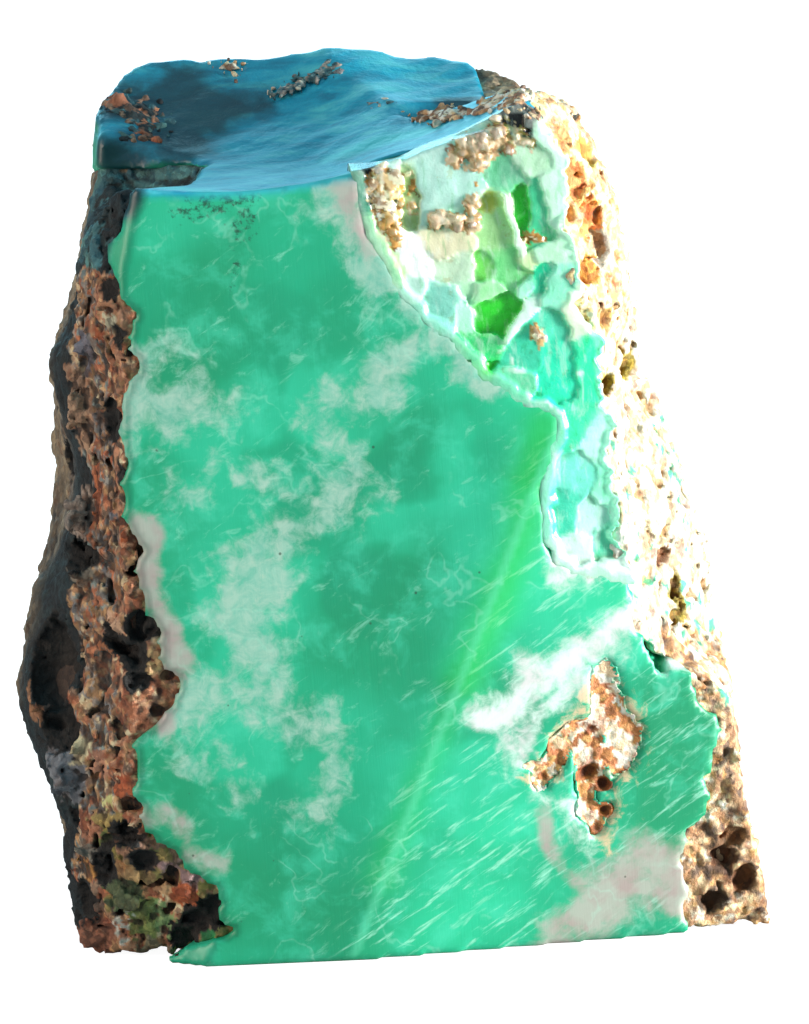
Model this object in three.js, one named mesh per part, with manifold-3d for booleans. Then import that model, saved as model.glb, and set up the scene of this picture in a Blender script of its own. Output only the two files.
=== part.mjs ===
// A natural chrysoprase hand specimen, in millimetres, +Z up.
// One broken lump of rock that stands on a sawn base. A sawn face looks forward (-Y), a second flat
// face at the lower right is turned a little to the right, the top is a hollow conchoidal break, and
// the sides and the back are rough natural crust. The origin is under the middle of the stone.

import * as THREE from "three";
import { mergeVertices } from "three/addons/utils/BufferGeometryUtils.js";
import { ImprovedNoise } from "three/addons/math/ImprovedNoise.js";
import Module from "manifold-3d";

// ---- driving dimensions ----

const HEIGHT = 58; // base to the highest point of the rim, nearly
const DEPTH = 33; // sawn front face to the back, near the base
const TOP_DEPTH = 25; // sawn front face to the back, at the top
const LEFT_EDGE = -18.2; // left edge of the sawn front face
const RIGHT_SIDE = 24.1; // widest point of the right side, near the base

const MIDDLE = [1, 15, 26]; // the rough lump is a distance from this point
const LUMP_DETAIL = 19; // subdivisions of each side of the icosahedron
const EDGE_SHARPNESS = 34; // higher leaves crisper edges between the broken sides
const SPARE = 4; // rough rock left past a face for the saw to take off
const TOP_SPARE = 1.8; // rough rock above the rim, which the breaks on top take off

const CHIP_COUNT = 46; // flat chips knocked off the corners of the rough rock
const CHIP_DEPTH = 1.8; // how far the deepest chip cuts in
const CHIP_VARIETY = 12.9; // steps the depth from one chip to the next
const OUTLINE_POINTS = 3000; // directions in which the rough rock is measured for its chips
const RELIEF = [
  { height: 1.0, spacing: 9, seed: 3.1 }, // broad lumps of the crust
  { height: 0.6, spacing: 3.6, seed: 7.7 }, // finer lumps
];

const STONE_COLOUR = 0x4fc39a;
const STONE_ROUGHNESS = 0.45;

// ---- the rough rock ----

// Every point below is [across, back from the sawn front, up].
// A broken side is a plane through a point, with the way it faces.
const backLean = (DEPTH - TOP_DEPTH) / (HEIGHT - 14);
const PAST_BASE = { through: [0, 0, -SPARE], facing: [0, 0, -1] };
const PAST_FRONT = { through: [0, -SPARE, 0], facing: [0, -1, 0] };

const MAIN_SIDES = [
  { through: [LEFT_EDGE, 0, 30], facing: [-0.88, -0.48, 0.02] }, // left, beside the sawn front
  { through: [-17.6, 13, HEIGHT], facing: [-1, 0.06, 0.25] }, // upper left
  { through: [-22.4, 13, 32], facing: [-1, 0.02, 0.02] }, // middle left
  { through: [-22.4, 12, 6], facing: [-1, 0.02, -0.2] }, // left, tucked in towards the base
  { through: [13.3, 0.5, 34], facing: [0.83, -0.5, 0.14] }, // right crust
  { through: [18.2, 12, 36], facing: [1, 0.02, 0.33] }, // right
  { through: [RIGHT_SIDE, 12, 6], facing: [1, -0.08, 0.03] }, // right, above the base
  { through: [0, DEPTH, 14], facing: [0.04, 1, backLean] }, // back
  { through: [-18.5, 26, 24], facing: [-0.66, 0.75, 0.1] }, // back left
  { through: [18.5, 26, 22], facing: [0.62, 0.78, 0.2] }, // back right
  { through: [0, 14, HEIGHT + TOP_SPARE], facing: [0.05, -0.06, 1] }, // top
  PAST_BASE,
  PAST_FRONT,
];

// The right foot stands out below the crust and carries the second flat face to the right side.
const FOOT_MIDDLE = [15.5, 14, 7];
const FOOT_DETAIL = 8;
const FOOT_SIDES = [
  { through: [RIGHT_SIDE - 0.2, 9, 8], facing: [1, -0.1, 0.14] }, // right
  { through: [19, 4, 18.3], facing: [0.2, -0.12, 0.97] }, // ledge under the crust
  { through: [20, 25, 8], facing: [0.6, 0.8, 0.2] }, // back, inside the main rock
  { through: [7, 12, 8], facing: [-1, 0, 0] }, // left, inside the main rock
  PAST_BASE,
  PAST_FRONT,
];

// Swellings and dips: each moves the rock out by its height at a point, fading over its width.
const SWELLINGS = [
  { at: [-22.5, 11, 16], height: 2.2, width: 7.5 }, // lower left
  { at: [-22, 11, 30], height: -1.9, width: 5 }, // waist above it
  { at: [-21, 6, 3], height: 3, width: 6 }, // left foot
  { at: [-22, 12, 39], height: 0.6, width: 6 }, // upper left
  { at: [-14, 23, 57], height: 2, width: 6 }, // back left corner of the top
  { at: [15, 10, 47], height: 1.3, width: 7 }, // upper right crust
  { at: [18, 8, 36.5], height: -1.2, width: 5 }, // waist under it
  { at: [RIGHT_SIDE, 8, 2], height: 0.6, width: 4.5 }, // right foot
];

const vector = (numbers) => new THREE.Vector3(...numbers);

function planesAround(sides, middle) {
  return sides.map(({ through, facing }) => {
    const normal = vector(facing).normalize();
    return { normal, distance: vector(through).sub(middle).dot(normal) };
  });
}

// How far the rock reaches from its middle in one direction: the nearest plane, with soft edges.
function reach(direction, planes) {
  let sum = 0;
  for (const { normal, distance } of planes) {
    const towards = direction.dot(normal);
    if (towards > 0) sum += (towards / distance) ** EDGE_SHARPNESS;
  }
  return sum ** (-1 / EDGE_SHARPNESS);
}

// Directions spread evenly over a ball.
function spread(count) {
  const goldenAngle = Math.PI * (3 - Math.sqrt(5));
  return Array.from({ length: count }, (_, i) => {
    const z = 1 - (2 * i + 1) / count;
    const across = Math.sqrt(1 - z * z);
    return new THREE.Vector3(
      across * Math.cos(goldenAngle * i),
      across * Math.sin(goldenAngle * i),
      z,
    );
  });
}

// Chips: each is a plane that takes a little off whatever stands out furthest in one direction.
function chipPlanes(planes) {
  const outline = spread(OUTLINE_POINTS).map((direction) =>
    direction.clone().multiplyScalar(reach(direction, planes)),
  );
  return spread(CHIP_COUNT).map((normal, i) => {
    const furthest = Math.max(...outline.map((point) => point.dot(normal)));
    const cut = CHIP_DEPTH * (0.5 + 0.5 * Math.sin(i * CHIP_VARIETY));
    return { normal, distance: furthest - cut };
  });
}

const noise = new ImprovedNoise();

// How far the crust stands out from the broken sides at a point.
function relief(point) {
  let height = 0;
  for (const { height: size, spacing, seed } of RELIEF) {
    const p = point.clone().divideScalar(spacing).addScalar(seed);
    height += size * noise.noise(p.x, p.y, p.z);
  }
  for (const { at, height: size, width } of SWELLINGS) {
    height += size * Math.exp(-point.distanceToSquared(vector(at)) / width ** 2);
  }
  return height;
}

// A closed lump of rough rock, larger than the stone where the saw and the breaks cut it.
function roughRock(sides, centre, detail) {
  const middle = vector(centre);
  const flatSides = planesAround(sides, middle);
  const planes = [...flatSides, ...chipPlanes(flatSides)];
  const geometry = new THREE.IcosahedronGeometry(1, detail);
  const position = geometry.getAttribute("position");
  const direction = new THREE.Vector3();
  const point = new THREE.Vector3();
  for (let i = 0; i < position.count; i += 1) {
    direction.fromBufferAttribute(position, i).normalize();
    point.copy(middle).addScaledVector(direction, reach(direction, planes));
    point.addScaledVector(direction, relief(point));
    position.setXYZ(i, point.x, point.y, point.z);
  }
  return geometry;
}

// ---- cutting ----

const wasm = await Module();
wasm.setup();

// A three.js geometry as a solid, with its shared corners joined.
function solid(geometry) {
  const bare = geometry.clone();
  bare.deleteAttribute("normal");
  bare.deleteAttribute("uv");
  const merged = mergeVertices(bare, 1e-4);
  const mesh = new wasm.Mesh({
    numProp: 3,
    vertProperties: new Float32Array(merged.getAttribute("position").array),
    triVerts: new Uint32Array(merged.getIndex().array),
  });
  mesh.merge();
  return new wasm.Manifold(mesh);
}

function geometryOf(body) {
  const mesh = body.getMesh();
  const geometry = new THREE.BufferGeometry();
  geometry.setAttribute("position", new THREE.BufferAttribute(mesh.vertProperties, 3));
  geometry.setIndex(new THREE.BufferAttribute(mesh.triVerts, 1));
  geometry.computeVertexNormals();
  return geometry;
}

// A block whose near side is a flat cut through a point. It removes everything past the cut.
const BLOCK = 160;
function flatCut(through, facing) {
  const block = new THREE.BoxGeometry(BLOCK, BLOCK, BLOCK);
  block.translate(0, 0, BLOCK / 2);
  const up = new THREE.Vector3(0, 0, 1);
  block.applyQuaternion(new THREE.Quaternion().setFromUnitVectors(up, facing));
  block.translate(through.x, through.y, through.z);
  return solid(block);
}

// A smooth conchoidal hollow: part of a large egg of rock taken out, down to its lowest point.
function scoop({ lowest, radii, detail }) {
  const egg = new THREE.IcosahedronGeometry(1, detail);
  egg.scale(...radii);
  egg.translate(lowest[0], lowest[1], lowest[2] + radii[2]);
  return solid(egg);
}

// A rough hollow: an uneven lump with flat sides taken out, turned so that no two look alike.
const HOLLOW_UNEVENNESS = 0.22; // how far its corners move in or out, as a share of its size
const HOLLOW_LUMPS = 1.7; // uneven lumps across its radius
function hollow(centre, radii, detail = 2) {
  const lump = new THREE.IcosahedronGeometry(1, detail);
  lump.rotateZ(centre[2]);
  const position = lump.getAttribute("position");
  const corner = new THREE.Vector3();
  for (let i = 0; i < position.count; i += 1) {
    corner.fromBufferAttribute(position, i);
    const p = corner.clone().multiplyScalar(HOLLOW_LUMPS).addScalar(centre[2]);
    corner.multiplyScalar(1 + HOLLOW_UNEVENNESS * noise.noise(p.x, p.y, p.z));
    position.setXYZ(i, corner.x, corner.y, corner.z);
  }
  lump.scale(...radii);
  lump.translate(...centre);
  return solid(lump);
}

// The second flat face meets the sawn front along a slanting ridge, from its foot on the base to its
// head. It is turned from the front by an angle, to the right and a little down.
const RIDGE_FOOT = new THREE.Vector3(-3.8, 0, 0);
const RIDGE_HEAD = new THREE.Vector3(9.3, 0, 33.5);
const SECOND_FACE_TURN = THREE.MathUtils.degToRad(8);
const ridge = RIDGE_HEAD.clone().sub(RIDGE_FOOT).normalize();
const secondFacing = new THREE.Vector3(
  ridge.z * Math.sin(SECOND_FACE_TURN),
  -Math.cos(SECOND_FACE_TURN),
  -ridge.x * Math.sin(SECOND_FACE_TURN),
);

// The top is two breaks, each part of a large egg of rock: its lowest point and its radii.
const TOP_BREAKS = [
  { lowest: [-11.6, 4, 50.7], radii: [38, 39, 38], detail: 21 }, // the wide hollow
  { lowest: [5, 15, 54.5], radii: [34, 27, 34], detail: 17 }, // shallower, at the back right
];

const CUTS = [
  flatCut(new THREE.Vector3(), new THREE.Vector3(0, 0, -1)), // sawn base
  flatCut(new THREE.Vector3(), new THREE.Vector3(0, -1, 0)), // sawn front
  flatCut(RIDGE_FOOT, secondFacing), // second flat face
  ...TOP_BREAKS.map(scoop),
  hollow([-17, 9, 53.2], [5.4, 6, 5], 3), // deeper pit at the left of the top
  hollow([5, 13.5, 54.2], [3.4, 2.6, 2.4]), // small pit at the right of the top
  hollow([5, -2.4, 49.2], [7, 5.4, 6.7], 3), // broken pocket
  hollow([0.3, -1.4, 49.4], [3.4, 2.6, 3.8]), // left rim of the pocket
  hollow([9.8, -2.6, 41.3], [4.4, 4.2, 4.6]), // shell-shaped chip below the pocket
  hollow([11.6, -0.4, 29.6], [2.9, 3, 4.3]), // shell-shaped scar beside the ridge
  hollow([-24.4, 4, 21.5], [4, 5, 5.6], 3), // deep hollow in the left side
  hollow([-18.4, -2.6, 2.2], [6.4, 5, 6.4], 3), // broken lower left corner
];

// ---- the stone ----

let stoneBody = solid(roughRock(MAIN_SIDES, MIDDLE, LUMP_DETAIL));
stoneBody = stoneBody.add(solid(roughRock(FOOT_SIDES, FOOT_MIDDLE, FOOT_DETAIL)));
for (const cut of CUTS) stoneBody = stoneBody.subtract(cut);

const stoneGeometry = geometryOf(stoneBody);
stoneGeometry.computeBoundingBox();
const stoneBox = stoneGeometry.boundingBox;
const boxCentre = stoneBox.getCenter(new THREE.Vector3());
stoneGeometry.translate(-boxCentre.x, -boxCentre.y, -stoneBox.min.z);

const stone = new THREE.Mesh(
  stoneGeometry,
  new THREE.MeshStandardMaterial({
    color: STONE_COLOUR,
    roughness: STONE_ROUGHNESS,
    metalness: 0,
  }),
);
stone.name = "chrysoprase_stone";

const specimen = new THREE.Group();
specimen.add(stone);

export default specimen;
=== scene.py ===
"""A natural chrysoprase specimen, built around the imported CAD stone.

The CAD stone gives the size, the broken outline and the flat faces. Here it becomes fine meshes with
blocks, holes and crystals, and it gets the colours and the finish of the rock.
All lengths are in millimetres until a mesh is made. An (across, up) place is a pair of shares of the
CAD stone's box. Many places in the lists below were converted from the photo by a scratch program.
"""

import itertools
import math

import bpy
import numpy as np
import openvdb
from mathutils import Matrix, Vector
from mathutils.bvhtree import BVHTree


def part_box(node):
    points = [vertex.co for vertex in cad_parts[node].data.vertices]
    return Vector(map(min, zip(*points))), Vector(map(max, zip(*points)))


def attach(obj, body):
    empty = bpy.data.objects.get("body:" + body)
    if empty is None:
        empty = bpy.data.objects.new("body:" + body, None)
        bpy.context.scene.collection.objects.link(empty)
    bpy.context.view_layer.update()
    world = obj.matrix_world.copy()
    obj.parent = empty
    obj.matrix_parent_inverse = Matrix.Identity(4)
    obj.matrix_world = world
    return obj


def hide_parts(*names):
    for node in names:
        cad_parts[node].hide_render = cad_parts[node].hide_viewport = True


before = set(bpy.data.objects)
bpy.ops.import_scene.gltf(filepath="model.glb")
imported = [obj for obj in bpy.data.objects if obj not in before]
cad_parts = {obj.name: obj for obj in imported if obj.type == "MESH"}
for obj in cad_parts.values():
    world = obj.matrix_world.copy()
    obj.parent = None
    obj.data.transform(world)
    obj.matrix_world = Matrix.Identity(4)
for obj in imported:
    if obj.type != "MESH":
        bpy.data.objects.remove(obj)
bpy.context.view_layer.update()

# ---- the CAD stone ----

MM = 0.001
NODE = "chrysoprase_stone"
PEAK = 1.014  # how much higher the stone is than its top rim, from which heights are shared out
low, high = (np.array(corner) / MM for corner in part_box(NODE))
size = (high - low) / (1, 1, PEAK)


def place(across, back, up):
    """A point of the stone's box: shares of its width, depth and height."""
    return low + np.array([across, back, up]) * size


cad_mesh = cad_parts[NODE].data
cad_mesh.calc_loop_triangles()
cad_points = np.array([v.co[:] for v in cad_mesh.vertices]) / MM
cad_faces = np.array([t.vertices[:] for t in cad_mesh.loop_triangles])
face_corners = cad_points[cad_faces]
face_cross = np.cross(face_corners[:, 1] - face_corners[:, 0], face_corners[:, 2] - face_corners[:, 0])
face_area = np.linalg.norm(face_cross, axis=1) / 2
face_normal = face_cross / np.maximum(face_area[:, None] * 2, 1e-9)
face_centre = face_corners.mean(axis=1)
cad_tree = BVHTree.FromPolygons(cad_points.tolist(), cad_faces.tolist())

# The sawn front is square to the axes. The second flat face is the plane that holds the other large
# triangles that look forward.
is_front = (face_normal[:, 1] < -0.999) & (face_centre[:, 1] < low[1] + 0.02)
leaning = (face_normal[:, 1] < -0.97) & (face_area > 2.5) & ~is_front
second_normal = np.average(face_normal[leaning], axis=0, weights=face_area[leaning])
second_normal /= np.linalg.norm(second_normal)
second_offset = np.average(face_centre[leaning] @ second_normal, weights=face_area[leaning])

# ---- camera, at the viewing angle of a person looking slightly down at the sawn face ----

CAMERA_AZIMUTH = math.radians(-6)
CAMERA_ELEVATION = math.radians(12)
CAMERA_ROLL = math.radians(-0.6)
CAMERA_LENS = 150.0
CAMERA_DISTANCE = 4.79 * size[2]
CAMERA_AIM = place(0.495, 0, 0.526)

camera_back = Vector((
    math.sin(CAMERA_AZIMUTH) * math.cos(CAMERA_ELEVATION),
    -math.cos(CAMERA_AZIMUTH) * math.cos(CAMERA_ELEVATION),
    math.sin(CAMERA_ELEVATION),
))
level = Vector((math.cos(CAMERA_AZIMUTH), math.sin(CAMERA_AZIMUTH), 0.0))
camera_right = level * math.cos(CAMERA_ROLL) + camera_back.cross(level) * math.sin(CAMERA_ROLL)
camera_up = camera_back.cross(camera_right)
eye = CAMERA_AIM + np.array(camera_back) * CAMERA_DISTANCE
camera_data = bpy.data.cameras.new("camera")
camera_data.lens = CAMERA_LENS
camera = bpy.data.objects.new("camera", camera_data)
camera_axes = Matrix((camera_right, camera_up, camera_back)).transposed()
camera.matrix_world = Matrix.Translation(Vector(eye) * MM) @ camera_axes.to_4x4()
bpy.context.collection.objects.link(camera)
bpy.context.scene.camera = camera


def behind(across, up, depth=0.0):
    """The point at a depth behind a place on the front plane, on the line of sight from the front."""
    spot = place(across, 0, up)
    direction = spot - eye
    return spot + direction / np.linalg.norm(direction) * depth


def seen(across, up):
    """The point of the CAD stone that shows at a place on the front plane."""
    spot = place(across, 0, up)
    hit = cad_tree.ray_cast(Vector(eye), Vector(spot - eye))[0]
    return np.array(hit) if hit else spot


# ---- noise ----

TABLE = 64
gradient_table = np.random.default_rng(11).normal(size=(TABLE, TABLE, TABLE, 3)).astype(np.float32)
gradient_table /= np.linalg.norm(gradient_table, axis=3, keepdims=True)
flat_table = gradient_table.reshape(-1, 3)


def noise(points, spacing, seed=0):
    """Smooth noise from about -1 to 1 that changes over one spacing."""
    scaled = np.asarray(points, dtype=np.float32) / spacing + seed * 7.31
    cell = np.floor(scaled)
    part = scaled - cell
    cell = cell.astype(np.int32)
    fade = part * part * part * (part * (part * 6 - 15) + 10)
    total = np.zeros(len(scaled), dtype=np.float32)
    for corner in range(8):
        step = np.array([corner & 1, (corner >> 1) & 1, corner >> 2])
        index = (cell + step) % TABLE
        gradient = gradient_table[index[:, 0], index[:, 1], index[:, 2]]
        weight = np.prod(np.where(step, fade, 1 - fade), axis=1)
        total += weight * np.sum(gradient * (part - step), axis=1)
    return total * 1.7


def rough_noise(points, spacing, octaves, seed=0):
    """Several noises, each half as wide and half as strong as the one before."""
    total = 0
    for octave in range(octaves):
        total = total + noise(points, spacing / 2**octave, seed + octave) / 2**octave
    return total


def cells(points, spacing, seed=0):
    """The nearest of many scattered seeds, as (its number, the way from it, how much nearer it is)."""
    scaled = np.asarray(points, dtype=np.float32) / spacing + seed * 5.17
    base = np.floor(scaled).astype(np.int32)
    nearest = np.full(len(scaled), 9.0, dtype=np.float32)
    following = nearest.copy()
    number = np.zeros(len(scaled), dtype=np.int32)
    away = np.zeros_like(scaled)
    for step in itertools.product((-1, 0, 1), repeat=3):
        cell = base + np.array(step, dtype=np.int32)
        index = cell % TABLE
        flat = (index[:, 0] * TABLE + index[:, 1]) * TABLE + index[:, 2]
        offset = scaled - (cell + 0.5 + 0.42 * flat_table[flat])
        gap = np.sqrt(np.einsum("ij,ij->i", offset, offset))
        closer = gap < nearest
        following = np.where(closer, nearest, np.minimum(following, gap))
        nearest = np.where(closer, gap, nearest)
        number = np.where(closer, flat, number)
        away = np.where(closer[:, None], offset, away)
    return number, away * spacing, (following - nearest) * spacing


def facets(points, spacing, rise, slope, seed=0):
    """Heights of blocks with tilted flat tops, each at its own level."""
    number, away, _ = cells(points, spacing, seed)
    level = flat_table[number, 0] * rise
    tilt = np.einsum("ij,ij->i", flat_table[(number * 7 + 13) % len(flat_table)], away) * slope
    return level + tilt


def knobs(points, spacing, seed=0):
    """Heights of rounded lumps side by side, 0 in the creases and at most 1, and each lump's number."""
    number, _, margin = cells(points, spacing, seed)
    level = 0.7 + 0.3 * flat_table[number, 0]
    return level * (1 - np.exp(-margin / (0.3 * spacing))), number


def fade_in(values, start, end):
    """0 below start, 1 above end, smooth between. With start above end it fades out."""
    part = np.clip((values - start) / (end - start), 0, 1)
    return part * part * (3 - 2 * part)


def colour(code):
    """A linear colour from an sRGB code such as 2fa98a."""
    channels = [int(code[i : i + 2], 16) / 255 for i in (0, 2, 4)]
    linear = [c / 12.92 if c <= 0.04045 else ((c + 0.055) / 1.055) ** 2.4 for c in channels]
    return (*linear, 1.0)


# ---- a grid of distances to the rock's surface ----


def turned_axes(random):
    """Three square axes turned at random."""
    axes, _ = np.linalg.qr(random.normal(size=(3, 3)))
    return axes.astype(np.float32)


def tilted_axes(turn_deg):
    """Axes turned in the front plane."""
    turn = math.radians(turn_deg)
    turned = [[math.cos(turn), 0, -math.sin(turn)], [0, 1, 0], [math.sin(turn), 0, math.cos(turn)]]
    return np.array(turned, dtype=np.float32)


class Grid:
    """Distances to a surface on a box of cells, negative inside the rock, and who shaped each cell."""

    def __init__(self, lowest, highest, cell):
        self.cell = cell
        self.first = np.floor(np.array(lowest) / cell).astype(int)
        self.count = np.ceil(np.array(highest) / cell).astype(int) - self.first + 1
        self.steps = [
            ((self.first[axis] + np.arange(self.count[axis])) * cell).astype(np.float32)
            for axis in range(3)
        ]
        self.x = self.steps[0][:, None, None]
        self.y = self.steps[1][None, :, None]
        self.z = self.steps[2][None, None, :]
        self.distance = np.zeros(self.count, dtype=np.float32)
        self.tint = np.zeros((*self.count, 4), dtype=np.float32)

    def blurred(self, width):
        """The distances smoothed over a width."""
        reach = max(1, int(math.ceil(2.5 * width / self.cell)))
        offsets = np.arange(-reach, reach + 1)
        weights = np.exp(-0.5 * (offsets * self.cell / width) ** 2)
        weights /= weights.sum()
        values = self.distance
        for axis in range(3):
            padding = [(reach, reach) if other == axis else (0, 0) for other in range(3)]
            padded = np.pad(values, padding, mode="edge")
            smooth = np.zeros_like(values)
            for offset, weight in zip(offsets, weights):
                part = [slice(None)] * 3
                part[axis] = slice(reach + offset, reach + offset + values.shape[axis])
                smooth += np.float32(weight) * padded[tuple(part)]
            values = smooth
        return values

    def copied_from(self, other):
        """Takes over the distances of a coarser grid."""
        values = other.distance
        for axis in range(3):
            spot = self.steps[axis] / other.cell - other.first[axis]
            spot = np.clip(spot, 0, other.count[axis] - 1.001)
            before = spot.astype(int)
            weight = (spot - before).astype(np.float32)
            shape = [1, 1, 1]
            shape[axis] = -1
            weight = weight.reshape(shape)
            after = np.take(values, before + 1, axis)
            values = np.take(values, before, axis) * (1 - weight) + after * weight
        self.distance = values

    def at(self, values, points):
        """The values of a grid array at some points."""
        spot = points / self.cell - self.first
        spot = np.clip(spot, 0, np.array(self.count) - 1.001)
        before = spot.astype(int)
        part = spot - before
        total = np.zeros(len(points))
        for corner in range(8):
            step = np.array([corner & 1, (corner >> 1) & 1, corner >> 2])
            index = before + step
            weight = np.prod(np.where(step, part, 1 - part), axis=1)
            total += weight * values[index[:, 0], index[:, 1], index[:, 2]]
        return total

    def window(self, centre, reach):
        """The part of the grid within a reach of a point, and its cells' places from that point."""
        start = np.maximum(np.floor((centre - reach) / self.cell).astype(int) - self.first, 0)
        end = np.minimum(np.ceil((centre + reach) / self.cell).astype(int) - self.first + 1, self.count)
        if (end <= start).any():
            return None, None
        part = tuple(slice(int(a), int(b)) for a, b in zip(start, end))
        offset = np.stack(
            np.meshgrid(*(self.steps[axis][part[axis]] - centre[axis] for axis in range(3)), indexing="ij"),
            axis=-1,
        )
        return part, offset

    def near(self, mask):
        """The indices and the points of the cells in a mask."""
        index = np.nonzero(mask)
        points = np.stack([self.steps[axis][index[axis]] for axis in range(3)], axis=1)
        return index, points

    def own(self, part, mask, tint):
        """Gives the cells of a part that one shape has made that shape's tint."""
        self.tint[part][mask] = tint

    def paint(self, index, tints):
        """Tints the cells that no shape has tinted yet."""
        bare = self.tint[index][:, 3] == 0
        self.tint[tuple(axis[bare] for axis in index)] = tints[bare]

    def block(self, centre, radii, random, tint, axes=None, corners=9, spill=0.0):
        """Adds a broken block: a skewed box with its corners knocked off flat. Its tint may spill over."""
        centre, radii = np.asarray(centre, dtype=float), np.asarray(radii, dtype=np.float32)
        part, offset = self.window(centre, 1.3 * radii.max() + 2 * self.cell + spill)
        sides = np.concatenate([np.eye(3), -np.eye(3)]) + random.normal(size=(6, 3)) * 0.14
        knocks = random.normal(size=(corners, 3))
        normals = np.concatenate([sides, knocks]).astype(np.float32)
        normals /= np.linalg.norm(normals, axis=1, keepdims=True)
        reaches = np.concatenate([np.ones(6), random.uniform(0.8, 1.15, size=corners)]).astype(np.float32)
        if axes is None:
            axes = turned_axes(random)
        if part is None:
            return
        local = (offset.astype(np.float32) @ axes) / radii
        shape = (local @ normals.T - reaches).max(axis=-1) * radii.min()
        now = self.distance[part]
        self.own(part, (shape < now + spill) & ((shape < spill) | (shape < now)), tint)
        self.distance[part] = np.minimum(now, shape)

    def hole(self, centre, radii, tint, axes):
        """Cuts a rounded hole. Its distances are true only near its surface."""
        part, offset = self.window(np.asarray(centre, dtype=float), max(radii) + 2 * self.cell)
        if part is None:
            return
        radii = np.asarray(radii, dtype=np.float32)
        local = offset @ axes
        reach = np.linalg.norm(local / radii, axis=-1)
        steepness = np.linalg.norm(local / np.square(radii), axis=-1)
        shape = reach * (reach - 1) / np.maximum(steepness, 1e-6)
        now = self.distance[part]
        self.own(part, -shape > now - 0.1, tint)
        self.distance[part] = np.maximum(now, -shape)


# ---- the body: the CAD stone with its facets smoothed away, but not the edges of the sawn faces ----

BODY_CELL = 0.36
BAND = 9  # cells on each side of the surface that hold its distance
MARGIN = 1.8  # room in the grids around the stone
body = Grid(low - MARGIN, high + MARGIN, BODY_CELL)
body.distance[:] = BAND * BODY_CELL
openvdb.FloatGrid.createLevelSetFromPolygons(
    cad_points.astype(np.float32),
    triangles=cad_faces.astype(np.uint32),
    transform=openvdb.createLinearTransform(voxelSize=BODY_CELL),
    halfWidth=BAND,
).copyToArray(body.distance, ijk=tuple(int(i) for i in body.first))


def second_distance(x, y, z):
    """How far a point is in front of the second flat face."""
    return x * second_normal[0] + y * second_normal[1] + z * second_normal[2] - second_offset


def sawn_depth(x, y, z):
    """How far a point is behind both sawn faces that look forward."""
    return np.minimum(y - low[1], -second_distance(x, y, z))


near_saw = np.minimum(np.abs(sawn_depth(body.x, body.y, body.z)), body.z - low[2])
keep_sharp = 1 - fade_in(near_saw, 0.8, 2.6)
on_top = fade_in(body.z, place(0, 0, 0.86)[2], place(0, 0, 0.9)[2]) * fade_in(
    body.x, place(0.72, 0, 0)[0], place(0.66, 0, 0)[0]
)
slightly, well = body.blurred(0.3), body.blurred(0.75)
softened = well + (slightly - well) * on_top
body.distance = softened + (body.distance - softened) * keep_sharp

# ---- zones: where each crust and the broken corner lie ----

# Edges of the crusts on the front, as (across, up) shares of the box, from the top down.
LEFT_EDGE = [(0.165, 0.93), (0.155, 0.895), (0.13, 0.86), (0.115, 0.82), (0.13, 0.79), (0.15, 0.76),
             (0.16, 0.71), (0.135, 0.66), (0.135, 0.58), (0.145, 0.51), (0.16, 0.44), (0.17, 0.39),
             (0.205, 0.33), (0.155, 0.28), (0.135, 0.21), (0.165, 0.16), (0.2, 0.12), (0.25, 0.09),
             (0.255, 0.04), (0.19, 0.02), (0.16, 0.0)]
RIGHT_EDGE = [(0.66, 1.0), (0.69, 0.96), (0.70, 0.92), (0.705, 0.84), (0.72, 0.76), (0.745, 0.7),
              (0.758, 0.6), (0.765, 0.51), (0.79, 0.44), (0.815, 0.37), (0.84, 0.345), (0.88, 0.325),
              (0.9, 0.29), (0.925, 0.25), (0.92, 0.19), (0.905, 0.15), (0.885, 0.11), (0.88, 0.06),
              (0.9, 0.0)]
LEFT_TOP = place(0, 0, 0.925)[2]
CRUST_BACK = place(0, 0.76, 0)[1]


def edge_at(edge, z):
    """The x of a ragged edge at some heights."""
    corners = np.array([place(across, 0, up) for across, up in edge])[::-1]
    wiggle = sum(
        0.09 * length**0.7 * np.sin(2 * math.pi * z / length + 9 * length + len(edge))
        for length in (5.3, 2.9, 1.7, 0.95, 0.6)
    )
    return (np.interp(z, corners[:, 2], corners[:, 0]) + wiggle).astype(np.float32)


def left_zone(x, y, z):
    """How far a point is inside the left crust's zone, in mm."""
    behind_front = y - low[1]
    return np.minimum(
        np.minimum(edge_at(LEFT_EDGE, z) + np.minimum(0.55 * behind_front, 9.0) - x, CRUST_BACK - y),
        LEFT_TOP - z - 0.15 * behind_front,
    )


def right_zone(x, y, z):
    """How far a point is inside the right crust's zone, in mm."""
    widening = np.minimum(0.3 * (y - low[1]), 2.0)
    return np.minimum(x - edge_at(RIGHT_EDGE, z) + widening, CRUST_BACK - y)


# The outline of the broken corner, as (across, up) shares of the box.
CORNER_OUTLINE = [(0.442, 0.935), (0.448, 0.896), (0.453, 0.874), (0.463, 0.848), (0.475, 0.823),
                  (0.492, 0.786), (0.515, 0.762), (0.537, 0.741), (0.561, 0.726), (0.575, 0.709),
                  (0.592, 0.694), (0.614, 0.674), (0.637, 0.659), (0.656, 0.650), (0.679, 0.645),
                  (0.694, 0.635), (0.702, 0.614), (0.691, 0.589), (0.682, 0.557), (0.683, 0.500),
                  (0.696, 0.465), (0.732, 0.448), (0.797, 0.441), (0.822, 0.461), (0.821, 1.01),
                  (0.442, 1.01)]

LIP = 0.35  # how far the pocket and the patch reach over the rims of their beds
RUN_UNDER = 0.35  # how far a crust runs on under the stone


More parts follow.
